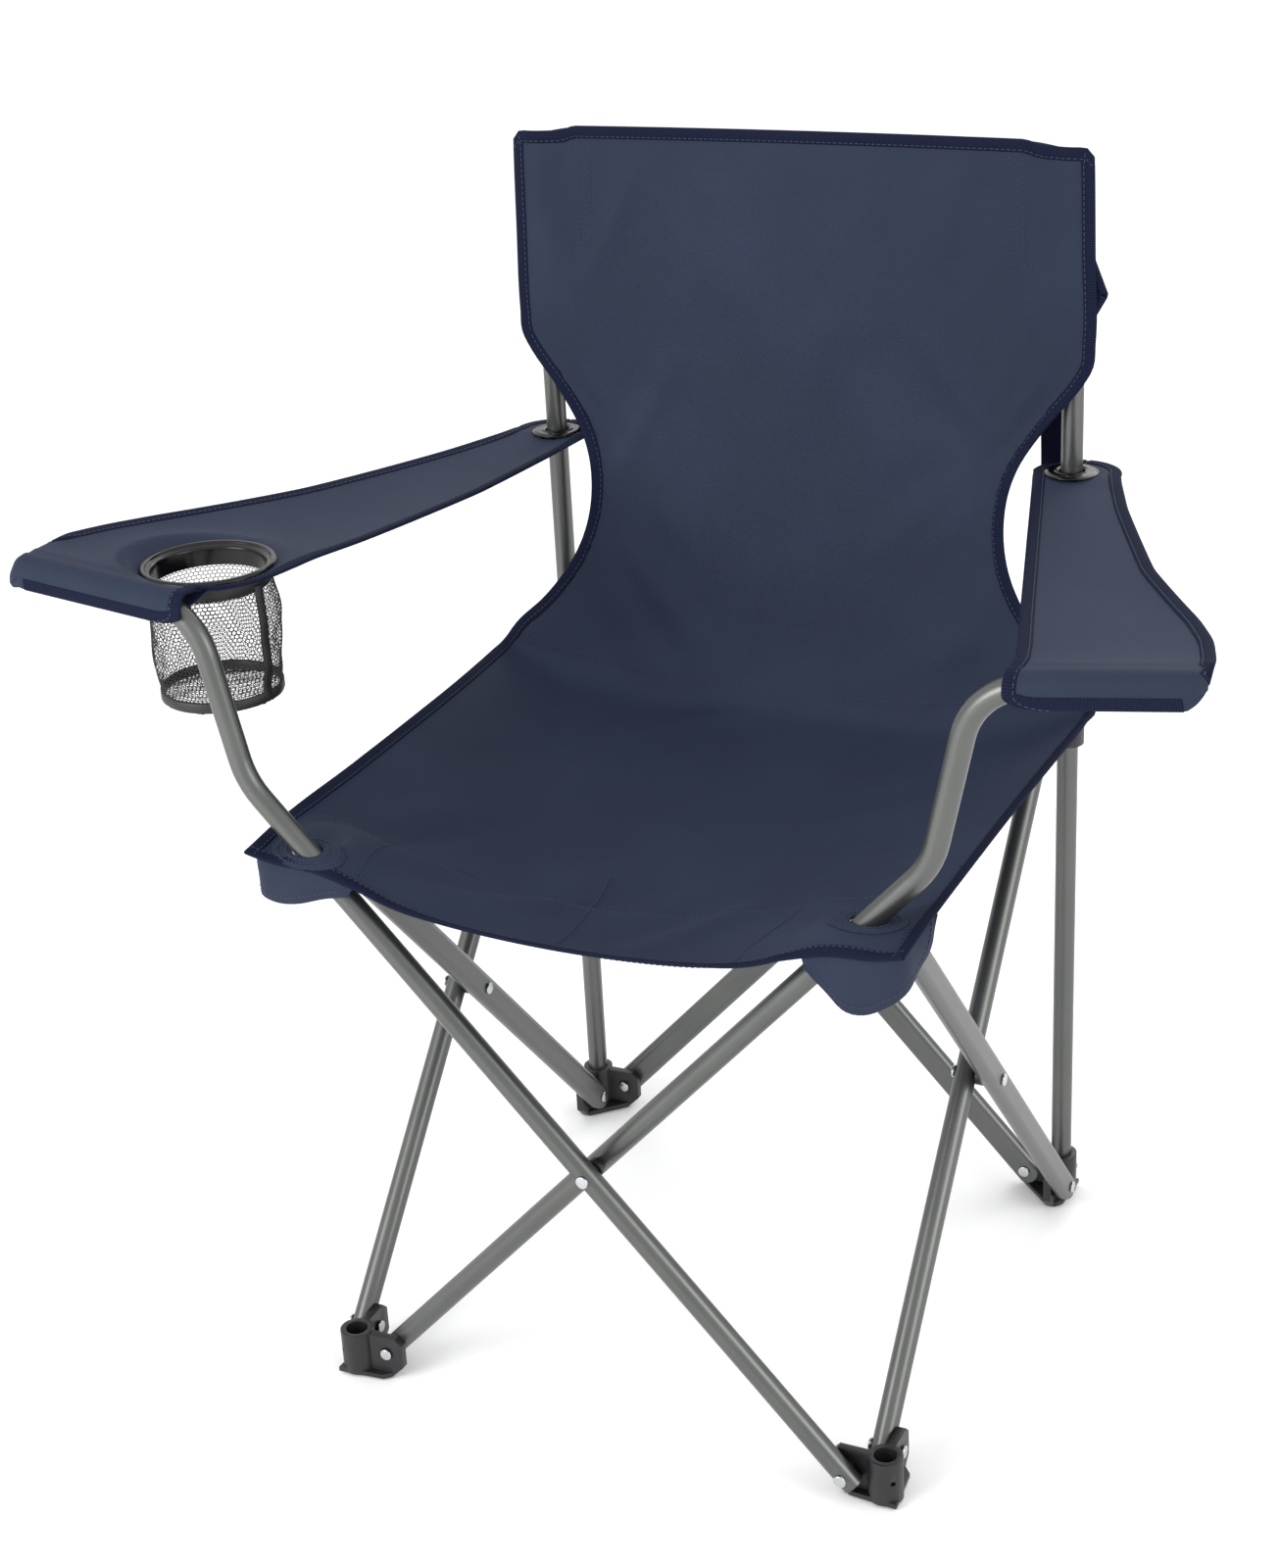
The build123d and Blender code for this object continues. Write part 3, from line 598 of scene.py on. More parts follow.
def creased(points):
    form = creaseForm
    along, across = rowAt[:, None] / 1000, points[:, :, 0]
    rise = np.zeros(points.shape[:2])
    for s0, x0, s1, x1, height, width in creases:
        start, run = np.array([s0, x0]) / 1000, np.array([s1 - s0, x1 - x0]) / 1000
        length, width = np.hypot(*run), width / 1000
        t = ((along - start[0]) * run[0] + (across - start[1]) * run[1]) / length**2
        off = ((along - start[0]) * run[1] - (across - start[1]) * run[0]) / length
        off = off + form["wander"] * np.sin(2.6 * t + s0)
        fade = np.clip(np.sin(math.pi * np.clip(t, 0, 1)), 0, 1) ** 0.8
        trough = hump(off, form["troughShift"] * width, form["troughWidth"] * width)
        rise += form["strength"] * height / 1000 * fade * (hump(off, 0, width) - form["trough"] * trough)
    rows, cols = (np.arange(n) for n in rise.shape)
    rise *= ramp(np.minimum(cols, cols[::-1])[None, :], form["margin"], form["fade"])
    rise *= ramp(rows, 0, form["fade"])[:, None]
    return points + gridNormals(points) * rise[:, :, None]


body, away = onCorners(body, reach=0.09)
held |= away < cornerRest["flat"] + 0.004
body = creased(drape("body", body, held, calm=3))
body, away = onCorners(body, reach=0.05)
bodyNormal, bodyUv = gridNormals(body), gridUv(body)
print("body cloth hung")

rowIndex, colIndex = np.indices((lastRow, lastCol))
isSeat = rowIndex < seamRow
isPocket = {
    "left": (rowIndex >= hipRow) & (colIndex < pocketStep),
    "right": (rowIndex >= hipRow) & (colIndex >= lastCol - pocketStep),
}
isMiddle = ~isSeat & ~isPocket["left"] & ~isPocket["right"]
# The front tubes come up through a hole in each front corner of the seat.
cornerHoles = {"left": (-0.1993, -0.2215), "right": (0.1993, -0.1985)}
centres = (body[:-1, :-1] + body[1:, 1:]) / 2
for x, y in cornerHoles.values():
    isSeat &= ((centres[:, :, 0] - x) / 0.0175) ** 2 + ((centres[:, :, 1] - y) / 0.0122) ** 2 >= 1

isHalf = {"left": colIndex < middleCol, "right": colIndex >= middleCol}
for side in signs:
    obj = sheetFrom(f"seat_cloth_{side}", body, bodyCut["thickness"], isSeat & isHalf[side], bodyUv)
    place(obj, f"seat_{side}", seatSquash, [f"seat_{side}"])
back = sheetFrom("backrest_cloth", body, bodyCut["thickness"], isMiddle, bodyUv)
place(back, "rear_left_leg", backSquash, ["back_panel"])
for side in signs:
    obj = sheetFrom(f"backrest_pocket_front_{side}", body, bodyCut["thickness"], isPocket[side], bodyUv)
    place(obj, f"rear_{side}_leg", takes=[f"back_pocket_{side}"])
    part = slice(0, pocketStep + 1) if side == "left" else slice(-pocketStep - 1, None)
print("seat and backrest cut")


# Tape and its stitching along one run of the body cloth's edge: step points into the cloth.
def bindEdge(name, rows, cols, step, bodyName, squash):
    path = body[rows, cols]
    towards = body[rows + 2 * step[0], cols + 2 * step[1]] - path
    bind(name, name + "_stitches", path, bodyNormal[rows, cols], towards, bodyName, squash)


for side, col, step in (("left", 0, (0, 1)), ("right", lastCol, (0, -1))):
    leg, seat = f"rear_{side}_leg", f"seat_{side}"
    for name, first, last, bodyName, squash in (
        ("seat_binding_side_", 0, seamRow, seat, seatSquash),
        ("backrest_binding_lower_", seamRow, hipRow, "rear_left_leg", backSquash),
        ("backrest_binding_upper_", hipRow, lastRow, leg, None),
    ):
        rows = np.arange(first, last + 1)
        bindEdge(name + side, rows, np.full(len(rows), col), step, bodyName, squash)
    across = np.arange(0, middleCol + 1) if side == "left" else np.arange(middleCol, lastCol + 1)
    bindEdge(f"seat_binding_front_{side}", np.zeros(len(across), int), across, (1, 0), seat, seatSquash)
    corner = np.arange(0, pocketStep + 1) if side == "left" else np.arange(lastCol - pocketStep, lastCol + 1)
    bindEdge(f"backrest_binding_corner_{side}", np.full(len(corner), lastRow), corner, (-1, 0), leg, None)
inner = np.arange(pocketStep, lastCol - pocketStep + 1)
topRow = np.full(len(inner), lastRow)
bindEdge("backrest_binding_top", topRow, inner, (-1, 0), "rear_left_leg", backSquash)
print("edges bound")

sleeve = dict(cols=15, depth=0.0245, roundness=0.75, gap=0.0006, thickness=0.0012, seamFrom=14)


# The sleeve's rear sheet: from its seam, round behind the upright, to the bound side edge.
def pocketBack(side):
    rows = np.arange(hipRow, lastRow + 1)
    edgeCol, seamCol = (0, pocketStep) if side == "left" else (lastCol, lastCol - pocketStep)
    t = np.linspace(0, 1, sleeve["cols"])
    points = body[rows, seamCol][:, None] * (1 - t)[:, None] + body[rows, edgeCol][:, None] * t[:, None]
    belly = sleeve["depth"] * np.sin(math.pi * t) ** sleeve["roundness"]
    isOpen = np.where(rows < lastRow, 1.0, 0.15)[:, None]  # the top row is sewn shut
    points[:, :, 1] += belly * isOpen + sleeve["gap"]
    uv = gridUv(points)
    if side == "right":
        points, uv = points[:, ::-1], uv[:, ::-1]
    obj = sheetFrom(f"backrest_pocket_rear_{side}", points, sleeve["thickness"], uv=uv)
    place(obj, f"rear_{side}_leg")
    # Two rows of stitching close the pocket's inner side.
    seam = slice(hipRow + sleeve["seamFrom"], lastRow - 1)
    for k, shift in enumerate((1, 3)):
        col = seamCol - signs[side] * shift
        line = stitchesAlong(f"pocket_seam_{side}_{k}", body[seam, col], bodyNormal[seam, col], lift=0.0007)
        place(line, "rear_left_leg", backSquash)


pocketBack("left")
pocketBack("right")
seam = (seamRow + 1, slice(1, -1))
seamLine = stitchesAlong("seat_seam_stitches", body[seam], bodyNormal[seam], lift=0.0007)
place(seamLine, "rear_left_leg", backSquash)
print("pockets sewn")

# Armrests: outlines are (y, x) in millimetres, and the post's line is its height, slope and start.
armCut = dict(
    rear=(0.2135, 0.210, 0.032), height=0.6118, sleeve=0.0102, flap=0.0095, corner=0.024,
    post=(0.607, 0.11364, 0.270), frontY=-0.210, postGap=0.0115,
    outer=[(210, 245.5), (140, 270), (10, 323), (-98, 380), (-137, 397), (-180, 409), (-215, 414)],
    inner=dict(
        right=[(210, 181.5), (176, 191), (60, 223), (-80, 262), (-150, 282), (-190, 292), (-212, 294)],
        left=[
            (210, 181.5), (150, 188), (60, 199), (-70, 225), (-115, 236), (-150, 240), (-180, 248),
            (-204, 268), (-218, 292),
        ],
    ),
    rows=120, cols=45, thickness=0.0016, sag=0.004, ringFlat=0.049, ringEase=0.012, cupHole=0.0445,
    upright=0.210, uprightHole=0.0172, tabFrom=0.178,
)
armSquash = {
    "left": dict(axis=(0.20114673, 0.91965511, 0.3373047), anchor=(-0.210, 0.210, 0.611), keep=0.2012),
    "right": dict(axis=(-0.20114673, 0.91965511, 0.3373047), anchor=(0.210, 0.210, 0.611), keep=0.1583),
}
# Past the left post's end the corner droops to a point.
armTip = dict(x=0.4045, width=0.0095, y=-0.165, depth=0.03, drop=0.014, shift=0.005)


def smoothEdge(outline, ys):
    y, x = np.array(sorted(outline), float).T
    values = np.interp(ys * 1000, y, x) / 1000
    kernel = np.hanning(13)
    padded = np.r_[[values[0]] * 6, values, [values[-1]] * 6]
    return np.convolve(padded, kernel / kernel.sum(), mode="valid")


def postHeight(x):
    height, slope, start = armCut["post"]
    return height + slope * (x - start)


# Top of the armrest: a straight run from the arm post's line down to the grommet.
def armHeights(x, y, postY):
    share = np.clip((0.185 - y) / (0.185 - postY), 0, 1)
    return armCut["height"] + (postHeight(x) + armCut["sleeve"] - armCut["height"]) * share


def fromCup(points):
    return np.hypot(points[:, :, 0] - cupX, points[:, :, 1] - cupY)


def armSurface(side):
    cut, sign = armCut, signs[side]
    postY = cut["frontY"] + sign * cut["postGap"]
    cx, cy, radius = cut["rear"]
    roundYs = cy + radius * np.cos(np.linspace(0.05, math.pi / 2, 12))
    ys = np.r_[roundYs, np.linspace(cy, postY + 0.012, cut["rows"])[1:]]
    roundHalf = np.sqrt(np.maximum(radius**2 - (np.maximum(ys, cy) - cy) ** 2, 1e-8))
    inner = np.where(ys >= cy, cx - roundHalf, smoothEdge(cut["inner"][side], ys))
    outer = np.where(ys >= cy, cx + roundHalf, smoothEdge(cut["outer"], ys))
    t = np.linspace(0, 1, cut["cols"])
    rows = []
    for y, a, b in zip(ys, inner, outer):
        x = a + (b - a) * t
        sag = cut["sag"] * math.sin(math.pi * np.clip((0.2 - y) / 0.4, 0, 1)) * (1 - 0.6 * (2 * t - 1) ** 2)
        rows.append((sign * x, np.full_like(x, y), armHeights(x, y, postY) - sag))
    # Then over the arm post, and down as a flap with rounded corners.
    a, b = inner[-1], outer[-1]
    x = a + (b - a) * t
    r = cut["sleeve"] * np.clip((b - x) / 0.006, 0.04, 1) ** 0.5
    for angle in np.linspace(math.radians(62), math.radians(190), 12):
        rows.append((sign * x, postY + r * np.cos(angle), postHeight(x) + r * np.sin(angle)))
    for share in np.sin(np.linspace(0.12, 1.0, 9) * math.pi / 2):
        arc = cut["corner"] * (1 - math.sqrt(max(0.0, 1 - share**2)))
        x = a + arc + (b - a - 1.22 * arc) * t
        closing = np.clip((b - x) / 0.010, 0.03, 1) ** 0.5
        y = postY - cut["sleeve"] * closing * (1 - 0.15 * share)
        rows.append((sign * x, y, postHeight(x) - closing * (0.0018 + cut["flap"] * share)))
    points = np.array(rows).transpose(0, 2, 1).copy()
    if side == "left":
        past = ramp(np.abs(points[:, :, 0]), armTip["x"], armTip["width"])
        past *= ramp(armTip["y"] - points[:, :, 1], 0, armTip["depth"])
        points[:, :, 2] -= armTip["drop"] * past
        points[:, :, 0] -= armTip["shift"] * past
        # The cloth is flat round the cup's ring, which is clipped on top.
        share = ramp(cut["ringFlat"] + cut["ringEase"] - fromCup(points), 0, cut["ringEase"])
        share[len(ys) :] = 0
        share = share**2 * (3 - 2 * share)
        points[:, :, 2] = points[:, :, 2] * (1 - share) + cut["height"] * share
    return points, len(ys), postY


# Columns 0 and -1 are the inner and outer edges. Rows run from the rear end to the front flap.
def makeArm(side):
    cut, sign = armCut, signs[side]
    body, squash, tube = f"armrest_{side}", armSquash[side], [f"front_{side}_tube"]
    grommet = f"arm_grommet_{side}"
    points, flatCount, postY = armSurface(side)
    held = np.zeros(points.shape[:2], bool)
    held[:, [0, -1]] = True
    held[flatCount - 1 :, :] = True
    held[:14, :] = True
    if side == "left":
        held |= fromCup(points) < cut["ringFlat"] + 0.006
    points = drape(f"arm_{side}", points, held, slack=0.006, cap=0.006, gravity=0.3, calm=30)
    facing = gridNormals(points) * -sign
    upward = points[::-1] if sign > 0 else points  # row order that keeps the upper side facing up
    centre = (upward[:-1, :-1] + upward[1:, 1:]) / 2
    keep = np.hypot(centre[:, :, 0] - sign * cut["upright"], centre[:, :, 1] - 0.210) > cut["uprightHole"]
    if side == "left":
        keep &= ~((fromCup(centre) < cut["cupHole"]) & (centre[:, :, 1] > postY + 0.014))
    isTab = centre[:, :, 1] > cut["tabFrom"]
    tab = sheetFrom(f"armrest_rear_tab_{side}", upward, cut["thickness"], keep & isTab)
    place(tab, grommet)
    arm = sheetFrom(f"armrest_cloth_{side}", upward, cut["thickness"], keep & ~isTab)
    place(arm, body, squash, [f"armrest_{side}", f"arm_sleeve_{side}"])
    # Tape runs round the whole edge: the rear end turns with the grommet, the sides with the armrest.
    tabRow = int(np.argmin(np.abs(points[:flatCount, 0, 1] - cut["tabFrom"])))
    for k, (col, step) in enumerate(((0, 1), (-1, -2))):
        sideEnd = flatCount + (5 if abs(points[flatCount, col, 0]) > 0.35 else 21)
        for name, run in (("rear", slice(0, tabRow + 1)), ("side", slice(tabRow, sideEnd))):
            path = points[run, col]
            towards = unit(points[run, step] - path)
            if name == "rear":
                middle = unit(np.array([sign * cut["upright"], 0.205, cut["height"]]) - path)
                share = ramp(path[:, 1:2], 0.180, 0.03)
                towards = towards * (1 - share) + middle * share
            names = [f"armrest_{what}_{name}_{side}_{k}" for what in ("binding", "stitches")]
            rider, crumple = (grommet, None) if name == "rear" else (body, squash)
            bind(*names, path, facing[run, col], towards, rider, crumple)
    front = points[-1, :-3]
    made = tapeAlong(f"armrest_binding_front_{side}", front, facing[-1, :-3], points[-2, :-3] - front)
    place(made, body, squash)
    # Under layer: from the front hem back to a seam behind the post.
    seam = points[flatCount - (3 if side == "left" else 12)] + [0, 0, -0.0022]
    share = np.linspace(0, 1, 14)[:, None, None]
    under = points[-1] * (1 - share) + seam * share
    under[:, :, 2] -= 0.004 * np.sin(np.linspace(0, math.pi, 14))[:, None]
    obj = sheetFrom(f"armrest_underside_{side}", under, 0.0012)
    place(obj, body, squash)


makeArm("left")
makeArm("right")
print("armrests sewn")

flatBody = [tuple(v) for v in body.reshape(-1, 3)]
wholeBody = BVHTree.FromPolygons(flatBody, gridFaces(body).reshape(-1, 4).tolist())


# The seat cloth's place and facing at a spot seen from above.
def onSeat(x, y):
    hit, normal, _, _ = wholeBody.ray_cast(Vector((x, y, 0.60)), Vector((0, 0, -1)))
    if hit is None:
        hit, normal, _, _ = wholeBody.find_nearest(Vector((x, y, 0.43)))
    return np.array(hit), np.array(normal if normal.z > 0 else -normal)


# Stitched rings of doubled cloth round the hole that a front tube comes up through: half widths in x and y.
holePatch = dict(
    inner=(0.0114, 0.0086), outer=(0.0270, 0.0178), rings=9, spokes=72, thickness=0.0021, sewn=(2, 4, 6)
)


def makeHolePatch(side):
    patch, (x, y) = holePatch, cornerHoles[side]
    points = np.zeros((patch["rings"], patch["spokes"] + 1, 3))
    normals = np.zeros_like(points)
    for k in range(patch["rings"]):
        share = k / (patch["rings"] - 1)
        rx, ry = (a * (1 - share) + b * share for a, b in zip(patch["inner"], patch["outer"]))
        for j in range(patch["spokes"] + 1):
            a = -math.tau * j / patch["spokes"]
            points[k, j], normals[k, j] = onSeat(x + rx * math.cos(a), y + ry * math.sin(a))
            points[k, j] += normals[k, j] * (0.0004 + 0.0005 * math.sin(share * math.pi * 6) ** 2)
    obj = sheetFrom(f"seat_hole_patch_{side}", points, patch["thickness"])
    place(obj, f"seat_{side}", seatSquash)
    stitched = dict(pitch=0.0032, length=0.0025, lift=0.0011, sides=(1,))
    lines = [stitchesAlong("hole_stitches", points[k], normals[k], **stitched) for k in patch["sewn"]]
    pick(lines[0])
    for line in lines:
        line.select_set(True)
    bpy.ops.object.join()
    lines[0].name = f"hole_stitches_{side}"
    place(lines[0], f"seat_{side}", seatSquash)


for side in signs:
    makeHolePatch(side)

# The seat's front hem is a doubled band, closed by one long seam and three slanted ones: (x, y) in mm.
hemSeams = {
    "seat_hem_seam": [
        (-228, -163), (-169, -154), (-100, -148), (-35, -142), (40, -130), (124, -118), (190, -112),
        (231, -108),
    ],
    "seat_hem_slant_0": [(-159, -222), (-169, -154)],
    "seat_hem_slant_1": [(-15, -222), (-30, -96)],
    "seat_hem_slant_2": [(119, -221), (124, -118)],
}
hemStitch = dict(pitch=0.0036, length=0.0027, radius=0.00042, lift=0.0006)
hemFold = dict(width=0.0026, half=0.0009)


def makeSeam(name, points, spacing=0.003):
    points = np.array(points, float) / 1000
    run = runOf(points)
    at = np.arange(0, run[-1], spacing)
    found = [onSeat(*(np.interp(s, run, points[:, k]) for k in (0, 1))) for s in at]
    path, normals = (np.array([f[k] for f in found]) for k in (0, 1))
    for side, mask in (("left", path[:, 0] <= 0), ("right", path[:, 0] > 0)):
        if mask.sum() > 3:
            part, up = path[mask], normals[mask]
            line = stitchesAlong(f"{name}_{side}", part, up, **hemStitch)
            place(line, f"seat_{side}", seatSquash)
            aside = unit(np.cross(up, np.gradient(part, axis=0)))
            folded = part + aside * 0.0012 + up * 0.0003
            ridge = tapeAlong(f"{name}_fold_{side}", folded, up, aside, **hemFold)
            ridge.data.materials[0] = navyCloth
            place(ridge, f"seat_{side}", seatSquash)


for name, points in hemSeams.items():
    makeSeam(name, points)
print("seat hem sewn")

# Corner pockets: the cloth under each front corner, sewn to the seat's edge and hanging round the frame's
# top corner. Their hems are (x, y, z) in millimetres.
cornerPocket = dict(
    columns=37, rows=14, bulge=0.0024, ripple=0.0012, thickness=0.0016, turn=0.62, edge=0.2385,
    left=[
        (160, -238, 417), (182, -237, 411), (202, -237, 405), (220, -236, 402), (233, -232, 405),
        (238, -214, 412), (239, -196, 422), (240, -176, 440),
    ],
    right=[
        (172, -238, 420), (186, -236, 403), (198, -234, 392), (210, -233, 391), (223, -232, 398),
        (233, -224, 405), (238, -206, 418), (240, -178, 440),
    ],
)


def makeCornerPocket(side):
    pocket, sign = cornerPocket, signs[side]
    turn, edge = pocket["turn"], pocket["edge"]  # share of the hem before the corner, and the corner's place
    hem = np.array(pocket[side], float) / 1000
    at = np.linspace(0, 1, pocket["columns"])
    hemRun = runOf(hem)
    bottom = interpolate(np.c_[hemRun / hemRun[-1], hem], pocket["columns"])
    top = np.zeros_like(bottom)
    for k, u in enumerate(at):
        if u < turn:
            x, y = hem[0, 0] + (edge - 0.003 - hem[0, 0]) * u / turn, -edge
        else:
            x, y = edge, -edge + (hem[-1, 1] + edge) * (u - turn) / (1 - turn)
        spot, _ = onSeat(sign * (x - 0.003), y + 0.003)
        top[k] = (abs(spot[0]), spot[1], spot[2] - 0.0004)
    down = np.linspace(0, 1, pocket["rows"])[:, None, None]
    points = top[None] * (1 - down) + bottom[None] * down
    outward = np.where((at < turn)[None, :, None], np.array([0.0, -1.0, 0.0]), np.array([1.0, 0.0, 0.0]))
    for _ in range(6):
        outward[:, 1:-1] = (outward[:, :-2] + outward[:, 1:-1] + outward[:, 2:]) / 3
    points = points + pocket["bulge"] * np.sin(down * math.pi) * np.sin(math.pi * at)[None, :, None] * outward
    points += pocket["ripple"] * np.sin(at * 23 + 1.3)[None, :, None] * down * outward
    for _ in range(2):
        points[:, 1:-1] = (points[:, :-2] + 2 * points[:, 1:-1] + points[:, 2:]) / 4
    points[:, :, 0] *= sign
    if sign < 0:
        points = points[:, ::-1]
    obj = sheetFrom(f"seat_corner_pocket_cloth_{side}", points, pocket["thickness"])
    sewn = points[-1] + unit(points[-2] - points[-1]) * 0.006
    line = stitchesAlong(f"corner_pocket_stitches_{side}", sewn, gridNormals(points)[-1], lift=0.0008)
    squash = dict(axis=(1, 0, 0), anchor=(sign * 0.238, -0.21, 0.42), keep=0.6)
    bracket = f"front_{side}_bracket"
    place(obj, bracket, squash, [f"seat_corner_pocket_{side}"])
    place(line, bracket, squash)


makeCornerPocket("left")
makeCornerPocket("right")
print("corner pockets sewn")

meshCup = dict(
    columns=84, yarn=0.00034, radius=0.0425, belly=0.0030, floor=0.5185, top=0.6095, dome=0.0035,
    lumps=0.0006, crumples=[(3, 9, 0.0011), (7, -5, 0.0008), (13, 17, 0.0005)],
)
cupTapes = dict(half=0.0012, rim=0.009, floor=0.007, seam=0.0065, seamAngle=-12, seamTop=0.604)


# Point of the mesh at an angle and a height: it bellies out and is a little crumpled.
def wallPoint(angle, height):
    share = (height - meshCup["floor"]) / (0.610 - meshCup["floor"])
    belly = meshCup["belly"] * math.sin(math.pi * min(1, max(0, 1.15 * (1 - share)))) ** 0.8
    crumple = sum(deep * math.sin(a * angle + s * share) for a, s, deep in meshCup["crumples"])
    r = meshCup["radius"] + belly + crumple * math.sin(math.pi * min(1, max(0.05, share)))
    return (cupX + r * math.cos(angle), cupY + r * math.sin(angle), height)


def floorPoint(x, y):
    dome = meshCup["dome"] * math.cos(min(1.0, math.hypot(x, y) / 0.042) * math.pi / 2)
    lumps = meshCup["lumps"] * math.sin(190 * x) * math.sin(170 * y)
    return (cupX + x, cupY + y, meshCup["floor"] + dome + lumps)


# The net's yarns, each from one point to another: a wall of hexagons, then the floor.
def netEdges():
    columns, floor, radius = meshCup["columns"], meshCup["floor"], meshCup["radius"]
    pitch, step = math.tau * radius / columns, math.tau / columns
    edges = []
    levels = int((meshCup["top"] - floor) / (1.5 * pitch / math.sqrt(3)))
    level = (meshCup["top"] - floor) / levels
    # Hexagons stand on a point: zigzag rows joined by short upright sides.
    for k in range(levels):
        z, reach = floor + k * level, 7 / 6 if k < levels - 1 else 1
        for c in range(columns):
            a = c + 0.5 * (k % 2)
            low = wallPoint(a * step, z + level / 6)
            left, right = (wallPoint((a + turn) * step, z + level / 2) for turn in (-0.5, 0.5))
            edges += [(low, left), (low, right), (right, wallPoint((a + 0.5) * step, z + level * reach))]
    rows = int(0.045 / (pitch * math.sqrt(3) / 2)) + 2
    for j in range(-rows, rows):
        for i in range(-rows * 2, rows * 2):
            ax, ay = pitch * (i + 0.5 * (j % 2)), 0.866 * pitch * j
            for dx, dy in ((0, 1), (-0.866, -0.5), (0.866, -0.5)):
                bx, by = ax + dx * pitch * 0.577, ay + dy * pitch * 0.577
                if max(math.hypot(ax, ay), math.hypot(bx, by)) < radius + 0.0012:
                    edges.append((floorPoint(ax, ay), floorPoint(bx, by)))
    return edges


def makeMeshCup():
    vertices, faces = [], []
    for a, b in netEdges():
        a, b = np.array(a), np.array(b)
        way = b - a
        way /= np.linalg.norm(way)
        side = np.cross(way, (0.3, 0.2, 0.93) if abs(way[2]) < 0.9 else (1, 0, 0))
        side /= np.linalg.norm(side)
        other = np.cross(way, side)
        base = len(vertices)
        for end in (a, b):
            for t in (0, math.tau / 3, math.tau * 2 / 3):
                vertices.append(end + meshCup["yarn"] * (side * math.cos(t) + other * math.sin(t)))
        faces += tubeFaces(base, 2, 3)
    squash = dict(axis=(0, 0, 1), anchor=(cupX, cupY, meshCup["top"]), keep=0.15)
    net = meshObject("mesh_cup_net", vertices, faces, meshYarn)
    place(net, "cup_holder", squash, ["mesh_cup"])
    # Black tape: round the top, round the floor's edge, and down the side seam.
    angles, floor = np.linspace(0, math.tau, 121), meshCup["floor"]
    out = np.array([(math.cos(a), math.sin(a), 0) for a in angles])
    pieces = []
    for name, height, way in (("rim", meshCup["top"], -1.0), ("floor", floor + 0.0005, 1.0)):
        ring, towards = [wallPoint(a, height) for a in angles], np.tile((0, 0, way), (len(angles), 1))
        pieces.append(("mesh_cup_tape_" + name, ring, out, towards, cupTapes[name]))
    a = math.radians(cupTapes["seamAngle"])
    seam = [wallPoint(a, z) for z in np.linspace(floor + 0.003, cupTapes["seamTop"], 40)]
    outward = np.tile((math.cos(a), math.sin(a), 0), (40, 1))
    around = np.tile((-math.sin(a), math.cos(a), 0), (40, 1))
    pieces.append(("mesh_cup_tape_side", seam, outward, around, cupTapes["seam"]))
    for *form, width in pieces:
        piece = tapeAlong(*form, width=width, half=cupTapes["half"])
        piece.data.materials[0] = meshYarn
        place(piece, "cup_holder", squash)


makeMeshCup()
print("mesh cup knitted")

strap = dict(thickness=0.0014, lower=0.0035, inset=0.001, cup=0.0006)
strapSquash = dict(axis=(0, 0, 1), anchor=(0, 0, 0.6125), keep=0.235)
rearTab = dict(thickness=0.0015, droop=0.0012)
# A folded tab of webbing, sewn into the right pocket's outer edge.
sideTab = dict(low=0.733, high=0.772, out=0.0075, back=0.004, peak=0.35, width=0.011, half=0.0012)


# Webbing from the armrest's rear end up behind the backrest's pocket, eased along its length.
def makeStrap(side):
    (x0, y0, z0), (x1, y1, z1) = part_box(f"arm_strap_{side}")
    z0 -= strap["lower"]
    share = np.linspace(0, 1, 40)
    ys = y1 - strap["inset"] + (y0 + strap["inset"] - y1) * share**1.6
    path = np.stack([np.full(40, (x0 + x1) / 2), ys, z0 + (z1 - z0) * share], axis=1)
    half = (x1 - x0) / 2
    offsets = np.linspace(-half, half, 7)
    points = np.stack([path + [d, strap["cup"] * (1 - (d / half) ** 2), 0] for d in offsets], axis=1)
    uv = gridUv(points)[:, :, ::-1]
    obj = sheetFrom(f"arm_strap_webbing_{side}", points, strap["thickness"], uv=uv, material=navyTape)
    place(obj, f"arm_grommet_{side}", strapSquash, [f"arm_strap_{side}"])


# Tab from under the seat's rear corner back to the slider.
def makeRearTab(side):
    low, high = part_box(f"seat_rear_tab_{side}")
    ys, xs = np.linspace(low[1], high[1], 24), np.linspace(low[0], high[0], 7)
    droop = rearTab["droop"] * np.sin(np.linspace(0, math.pi, 24))
    points = np.array([[(x, y, (low[2] + high[2]) / 2 - d) for x in xs] for y, d in zip(ys, droop)])
    uv = gridUv(points)[:, :, ::-1]
    obj = sheetFrom(f"seat_rear_tab_webbing_{side}", points, rearTab["thickness"], uv=uv, material=navyTape)
    place(obj, f"rear_{side}_slider", takes=[f"seat_rear_tab_{side}"])


def makeSideTab():
    rise = np.linspace(0, 1, 17)
    edge = body[hipRow:, -1]
    heights = sideTab["low"] + (sideTab["high"] - sideTab["low"]) * rise
    path = np.stack([np.interp(heights, edge[:, 2], edge[:, k]) for k in range(3)], axis=1)
    peak = np.minimum(rise / sideTab["peak"], (1 - rise) / (1 - sideTab["peak"]))[:, None]
    path += peak * [sideTab["out"], sideTab["back"], 0]
    front, inward = np.tile((0, -1.0, 0), (17, 1)), np.tile((-1.0, 0, 0), (17, 1))
    tab = tapeAlong("backrest_side_tab", path, front, inward, sideTab["width"], sideTab["half"])
    place(tab, "rear_right_leg")


for side in signs:
    makeStrap(side)
    makeRearTab(side)
makeSideTab()
print("straps made")

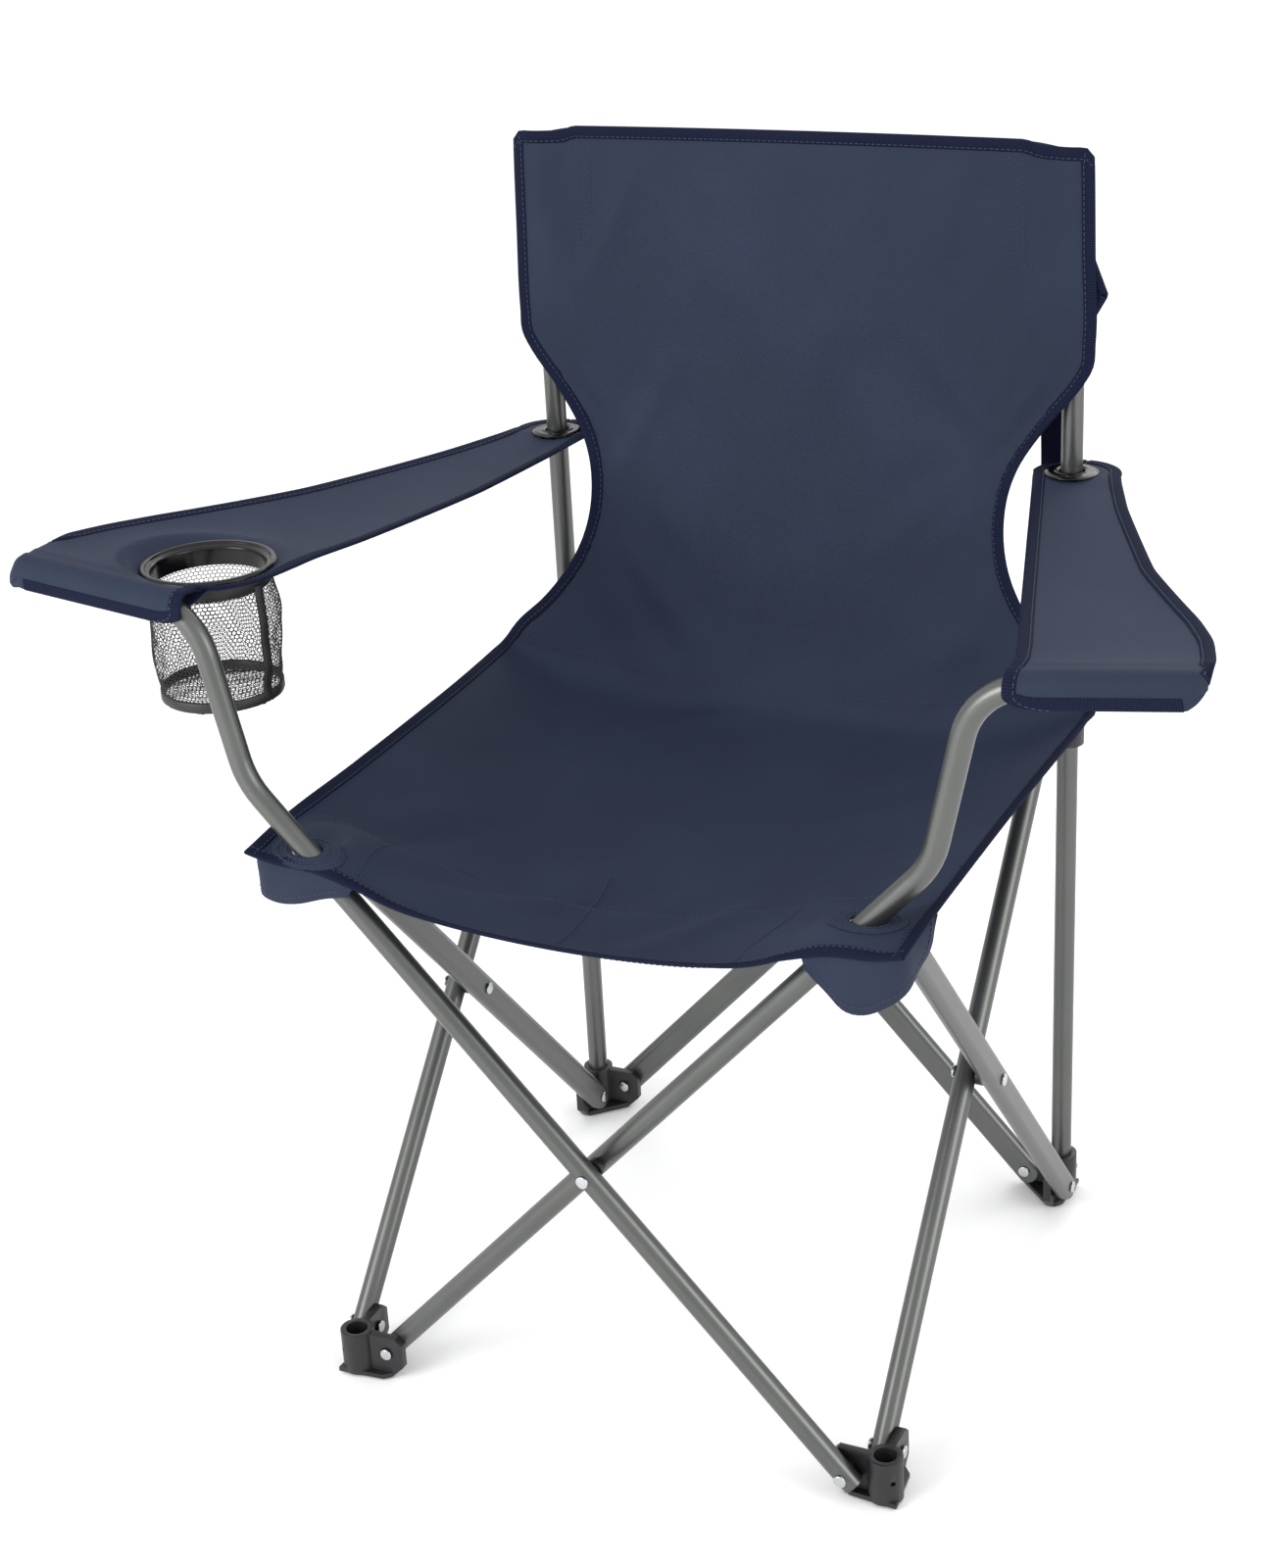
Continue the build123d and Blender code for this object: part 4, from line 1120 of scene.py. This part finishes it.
# Lamps: place, size and watts. All of them look at the chair's middle.
studio = dict(
    floor=60, floorDrop=0.0006, paper="#fdfdfd", world=1.04, aim=(0, 0, 0.45),
    lamps={
        "key": ((-1.5, -2.6, 1.5), 1.6, 60), "side": ((2.6, -0.6, 1.4), 1.4, 24),
        "rim": ((0.2, 2.4, 2.2), 1.6, 18),
    },
)


def makeStage():
    deselect()
    bpy.ops.mesh.primitive_plane_add(size=studio["floor"], location=(0, 0, -studio["floorDrop"]))
    floor = bpy.context.active_object
    floor.name = "studio_floor"
    # White paper, laid flat and lit until it is even.
    paper, _, shader = newMaterial("whitePaperSweep", Roughness=0.85)
    shader.inputs["Base Color"].default_value = linear(studio["paper"])
    floor.data.materials.append(paper)
    world = bpy.data.worlds.new("studio")
    world.use_nodes = True
    world.node_tree.nodes["Background"].inputs[0].default_value = linear("#ffffff")
    world.node_tree.nodes["Background"].inputs[1].default_value = studio["world"]
    bpy.context.scene.world = world
    for name, (spot, size, watts) in studio["lamps"].items():
        lamp = bpy.data.lights.new(name, "AREA")
        lamp.size = size
        lamp.energy = watts
        obj = bpy.data.objects.new(name, lamp)
        bpy.context.scene.collection.objects.link(obj)
        obj.location = spot
        obj.rotation_euler = (Vector(studio["aim"]) - Vector(spot)).to_track_quat("-Z", "Y").to_euler()
    bpy.context.scene.view_settings.view_transform = "Standard"


view = dict(place=(0.7316, -1.6055, 1.1958), azimuth=26.007, elevation=23.589, roll=-3.125, lens=60.93)


def makeCamera():
    a, e, r = (math.radians(view[k]) for k in ("azimuth", "elevation", "roll"))
    ahead = Vector((-math.sin(a) * math.cos(e), math.cos(a) * math.cos(e), -math.sin(e)))
    right = Vector((math.cos(a), math.sin(a), 0))
    up = right.cross(ahead)
    right, up = right * math.cos(r) + up * math.sin(r), up * math.cos(r) - right * math.sin(r)
    camera = bpy.data.objects.new("camera", bpy.data.cameras.new("camera"))
    camera.data.lens = view["lens"]
    camera.data.sensor_width = 36
    rotation = Matrix((right, up, -ahead)).transposed()
    camera.matrix_world = Matrix.Translation(view["place"]) @ rotation.to_4x4()
    bpy.context.scene.collection.objects.link(camera)
    bpy.context.scene.camera = camera


makeStage()
makeCamera()
print("stage set")
